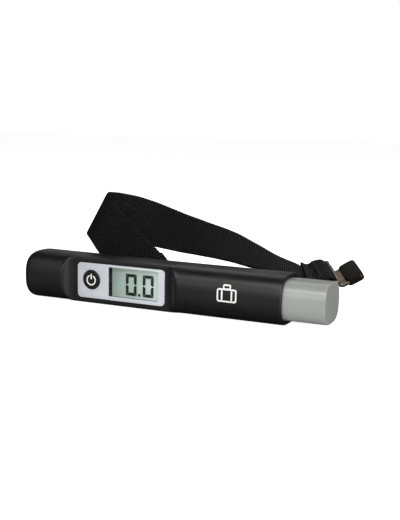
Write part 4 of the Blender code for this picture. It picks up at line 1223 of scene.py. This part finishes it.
# ---------------------------------------------------------------------------
# hook and grip
# ---------------------------------------------------------------------------
SHEET = 1.5
LIP = math.radians(22.3)
SHANK = math.radians(80)
CURL = (7.05, -2.0)
CURL_R = 1.9
HEAD_W = 28.8
TONGUE_W = 18.4
mid = [(4.0, 0.0), (4.1, 0.0)]
mid += [(4.1 + 1.1 * math.sin(SHANK * k / 8), -1.1 * (1 - math.cos(SHANK * k / 8))) for k in range(1, 9)]
a0, a1 = math.pi + (math.pi / 2 - SHANK), 1.5 * math.pi + LIP
mid += [(CURL[0] + CURL_R * math.cos(a0 + (a1 - a0) * k / 24),
         CURL[1] + CURL_R * math.sin(a0 + (a1 - a0) * k / 24)) for k in range(25)]
lip0 = mid[-1]
mid.append((lip0[0] + 9.2 * math.cos(LIP), lip0[1] + 9.2 * math.sin(LIP)))


def sheet_outline(line, t):
    left, right = [], []
    for k, p in enumerate(line):
        a = line[max(k - 1, 0)]
        b = line[min(k + 1, len(line) - 1)]
        dx, dy = b[0] - a[0], b[1] - a[1]
        d = math.hypot(dx, dy)
        nx, ny = -dy / d * t / 2, dx / d * t / 2
        left.append((p[0] + nx, p[1] + ny))
        right.append((p[0] - nx, p[1] - ny))
    return left + right[::-1]


head = plate([rounded_rect(2.0, 0.0, 6.2, HEAD_W, 1.4, 8),
              rounded_rect(2.45, 0.0, 2.9, WEB_W + 1.2, 0.6, 6)], -0.82, 0.82, axes(HOOK_H, HOOK_B, BAR), 0.22, 2)
tongue = plate([sheet_outline(mid, SHEET)], -TONGUE_W / 2, TONGUE_W / 2, axes(HOOK_H, HOOK_K, BAR), 0.2, 2)
show("steel_hook", cut(head, [tongue], 'UNION'), M_HOOK, "hook", replaces=["hook_plate"],
     smooth=30)

lip_dir = HOOK_H * math.cos(LIP) + HOOK_K * math.sin(LIP)
lip_base = BAR + HOOK_H * lip0[0] + HOOK_K * lip0[1]
grip_axes = axes(lip_dir, HOOK_B, lip_base)
grip = plate([rounded_rect(5.9, 0.0, 8.4, 19.6, 2.2, 8)], -1.8, 1.8, grip_axes, 0.75, 4)
grip_slot = plate([rounded_rect(3.6, 0.0, 11.8, TONGUE_W + 2 * GAP, 0.2, 2)], -1.05, 1.05, grip_axes)
grip = cut(grip, [grip_slot])
pad = plate([rounded_rect(5.6, 0.0, 1.4, 3.2, 0.5, 5)], 1.72, 1.93, grip_axes, 0.08, 1)
show("grip_raised_pad", pad, M_GRIP, "hook", smooth=40)
show("grip_sleeve", grip, M_GRIP, "hook", replaces=["hook_grip"], smooth=40)

# ---------------------------------------------------------------------------
# catch bail
# ---------------------------------------------------------------------------
BAIL_DROP = math.radians(20)
bail_axes = axes((1, 0, 0), (0, math.cos(BAIL_DROP), -math.sin(BAIL_DROP)), PIN)
bail_pts = [(-14.2, 2.2, 0)]
for cx, s0 in ((-11.2, 180), (11.2, 90)):
    bail_pts += [(cx + 3.0 * math.cos(math.radians(s0 - 9 * k)),
                  13.5 + 3.0 * math.sin(math.radians(s0 - 9 * k)), 0) for k in range(11)]
bail_pts += [(14.2, 2.2, 0)]
bail = wire(bail_pts, 1.1, bail_axes, res=6)
eyes = []
for side in (-1, 1):
    x0 = SLOT_X + side * 14.2
    eyes.append(plate([circle(PIN_Y, 0, 2.9, 48), circle(PIN_Y, 0, PIN_R + GAP, 40)],
                      x0 - 1.1, x0 + 1.1, YZ, 0.25, 2))
show("wire_bail", cut(bail, eyes, 'UNION'), M_STEEL, "bail", replaces=["catch_bail"], smooth=40)

# ---------------------------------------------------------------------------
# carried-over CAD nodes: materials, and welded smooth shading
# ---------------------------------------------------------------------------
CAD_LOOK = {
    "lcd_frame": M_WHITE, "zebra_connector": M_RUBBER, "tact_switch": M_STEEL, "circuit_board": M_BOARD,
    "controller_chip": M_EPOXY, "load_cell": M_ALU, "strain_gauge": M_FILM, "load_shackle": M_STEEL,
    "shackle_screw": M_ZINC, "load_pin": M_STEEL, "battery_contact_pos": M_STEEL,
    "battery_contact_neg": M_STEEL, "battery_wire_red": M_RED, "battery_wire_black": M_EPOXY,
    "gauge_wire_1": M_WHITE, "gauge_wire_2": M_RED, "gauge_wire_3": M_EPOXY,
    "switch_plunger": M_EPOXY, "battery": M_CELLCAN, "load_cell_screw_1": M_ZINC, "load_cell_screw_2": M_ZINC,
    "board_screw_1": M_ZINC, "board_screw_2": M_ZINC, "board_screw_3": M_ZINC, "board_screw_4": M_ZINC,
}
for name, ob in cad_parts.items():
    if ob.hide_render:
        continue
    ob.data.materials.clear()
    ob.data.materials.append(CAD_LOOK[name])
    for p in ob.data.polygons:
        p.use_smooth = True
    weld = ob.modifiers.new("weld", 'WELD')
    weld.merge_threshold = 1e-6
    split = ob.modifiers.new("edges", 'EDGE_SPLIT')
    split.split_angle = math.radians(35)

# ---------------------------------------------------------------------------
# stage, light, camera
# ---------------------------------------------------------------------------
FLOOR_LIFT = 0.90


def floor_material():
    g = Graph("pale_floor")
    v = g.mm()
    n = g.noise(v, 0.02, 3.0)
    col = g.mix(g.remap(n, 0.3, 0.7, 0, 1), (0.90, 0.90, 0.90), (0.93, 0.93, 0.93))
    g.set(Base_Color=col, Roughness=0.9, Specular_IOR_Level=0.0)
    path = g.new("ShaderNodeLightPath")
    em = g.new("ShaderNodeEmission")
    em.inputs["Color"].default_value = (1, 1, 1, 1)
    g.link(g.math('MULTIPLY', path.outputs["Is Camera Ray"], FLOOR_LIFT), em.inputs["Strength"])
    add = g.new("ShaderNodeAddShader")
    g.link(g.bsdf.outputs[0], add.inputs[0])
    g.link(em.outputs[0], add.inputs[1])
    g.link(add.outputs[0], g.out.inputs["Surface"])
    return g.mat


bm = bmesh.new()
bmesh.ops.create_grid(bm, x_segments=8, y_segments=8, size=6.0)
floor_mesh = bpy.data.meshes.new("floor")
bm.to_mesh(floor_mesh)
bm.free()
floor_mesh.materials.append(floor_material())
floor = bpy.data.objects.new("floor", floor_mesh)
floor.location = (0, 0, -0.0002)
bpy.context.scene.collection.objects.link(floor)
floor.visible_glossy = False


def softbox(name, position, target, size, power, shape='RECTANGLE', colour=(1, 1, 1)):
    li = bpy.data.lights.new(name, 'AREA')
    li.shape = shape
    li.size, li.size_y = size
    li.energy = power
    li.color = colour
    ob = bpy.data.objects.new(name, li)
    bpy.context.scene.collection.objects.link(ob)
    ob.location = position
    ob.rotation_euler = (Vector(target) - Vector(position)).to_track_quat('-Z', 'Y').to_euler()
    return ob


key = softbox("key_front", (0.44, -0.72, 0.58), (0.0, 0.0, 0.01), (0.75, 0.5), 6.0)
key.data.specular_factor = 0.12
card = softbox("front_card", (-0.22, -0.94, 0.24), (0.0, 0.0, 0.01), (0.50, 0.36), 1.45)
card.data.diffuse_factor = 0.35
high = softbox("upper_card", (-0.20, -0.64, 0.70), (0.02, 0.0, 0.01), (0.44, 0.36), 2.2)
high.data.diffuse_factor = 0.4
low = softbox("low_right", (1.0, -0.42, 0.05), (0.0, 0.0, 0.01), (0.6, 0.28), 2.6)
low.data.diffuse_factor = 0.4
side = softbox("fill_right", (0.85, -0.20, 0.30), (0.05, 0.0, 0.01), (0.5, 0.5), 2.4, colour=(1.0, 0.95, 0.86))
side.data.specular_factor = 0.5
top = softbox("back_top", (0.0, 0.65, 0.65), (0.0, 0.0, 0.02), (1.2, 0.4), 1.6)
top.data.specular_factor = 0.08
rim = softbox("rim_strip", (-0.45, 1.10, 0.205), (0.02, 0.0, 0.02), (1.3, 0.05), 0.3)
rim.data.diffuse_factor = 0.2
for li in (key, card, high, low, side, top, rim):
    li.visible_camera = False

world = bpy.data.worlds.new("studio")
bpy.context.scene.world = world
world.use_nodes = True
nt = world.node_tree
nt.nodes.clear()
w_out = nt.nodes.new("ShaderNodeOutputWorld")
lp = nt.nodes.new("ShaderNodeLightPath")
seen = nt.nodes.new("ShaderNodeBackground")
seen.inputs["Color"].default_value = (1, 1, 1, 1)
seen.inputs["Strength"].default_value = 1.0
env = nt.nodes.new("ShaderNodeBackground")
tc = nt.nodes.new("ShaderNodeTexCoord")
sep = nt.nodes.new("ShaderNodeSeparateXYZ")
nt.links.new(tc.outputs["Generated"], sep.inputs[0])
# brightness by height: dim below, even in front, dim overhead; light comes from behind as well
ramp = nt.nodes.new("ShaderNodeValToRGB")
els = ramp.color_ramp.elements
els[0].position, els[0].color = 0.30, (0.06, 0.06, 0.06, 1)
els[1].position, els[1].color = 1.0, (0.04, 0.04, 0.04, 1)
for pos, val in ((0.47, 0.22), (0.60, 0.42), (0.78, 0.20)):
    e = els.new(pos)
    e.color = (val, val, val, 1)
half = nt.nodes.new("ShaderNodeMapRange")
half.inputs["From Min"].default_value = -1.0
half.inputs["From Max"].default_value = 1.0
nt.links.new(sep.outputs["Z"], half.inputs["Value"])
nt.links.new(half.outputs["Result"], ramp.inputs["Fac"])
nt.links.new(ramp.outputs["Color"], env.inputs["Color"])
# darker towards the left and behind
fall_x = nt.nodes.new("ShaderNodeMapRange")
for key_, val in zip(("From Min", "From Max", "To Min", "To Max"), (-1.0, 0.4, 0.22, 1.0)):
    fall_x.inputs[key_].default_value = val
nt.links.new(sep.outputs["X"], fall_x.inputs["Value"])
fall_y = nt.nodes.new("ShaderNodeMapRange")
for key_, val in zip(("From Min", "From Max", "To Min", "To Max"), (-0.3, 0.6, 1.0, 0.22)):
    fall_y.inputs[key_].default_value = val
nt.links.new(sep.outputs["Y"], fall_y.inputs["Value"])
both = nt.nodes.new("ShaderNodeMath")
both.operation = 'MULTIPLY'
nt.links.new(fall_x.outputs["Result"], both.inputs[0])
nt.links.new(fall_y.outputs["Result"], both.inputs[1])
nt.links.new(both.outputs[0], env.inputs["Strength"])
mixw = nt.nodes.new("ShaderNodeMixShader")
nt.links.new(lp.outputs["Is Camera Ray"], mixw.inputs[0])
nt.links.new(env.outputs[0], mixw.inputs[1])
nt.links.new(seen.outputs[0], mixw.inputs[2])
nt.links.new(mixw.outputs[0], w_out.inputs["Surface"])

cam_data = bpy.data.cameras.new("camera")
cam_data.sensor_fit = 'AUTO'
cam_data.sensor_width = 36.0
cam_data.lens = 850.0 * 36.0 / 520.0
cam_data.clip_start = 0.01
cam_data.clip_end = 50.0
cam = bpy.data.objects.new("camera", cam_data)
bpy.context.scene.collection.objects.link(cam)
right = Vector((0.906, 0.423, 0.021)).normalized()
up = Vector((-0.084, 0.131, 0.988))
up = (up - right * up.dot(right)).normalized()
back = right.cross(up)
cam.matrix_world = Matrix.Translation((0.174191, -0.348401, 0.084348)) @ Matrix((right, up, back)).transposed().to_4x4()
bpy.context.scene.camera = cam
bpy.context.scene.view_settings.view_transform = 'Standard'
bpy.context.scene.view_settings.look = 'None'
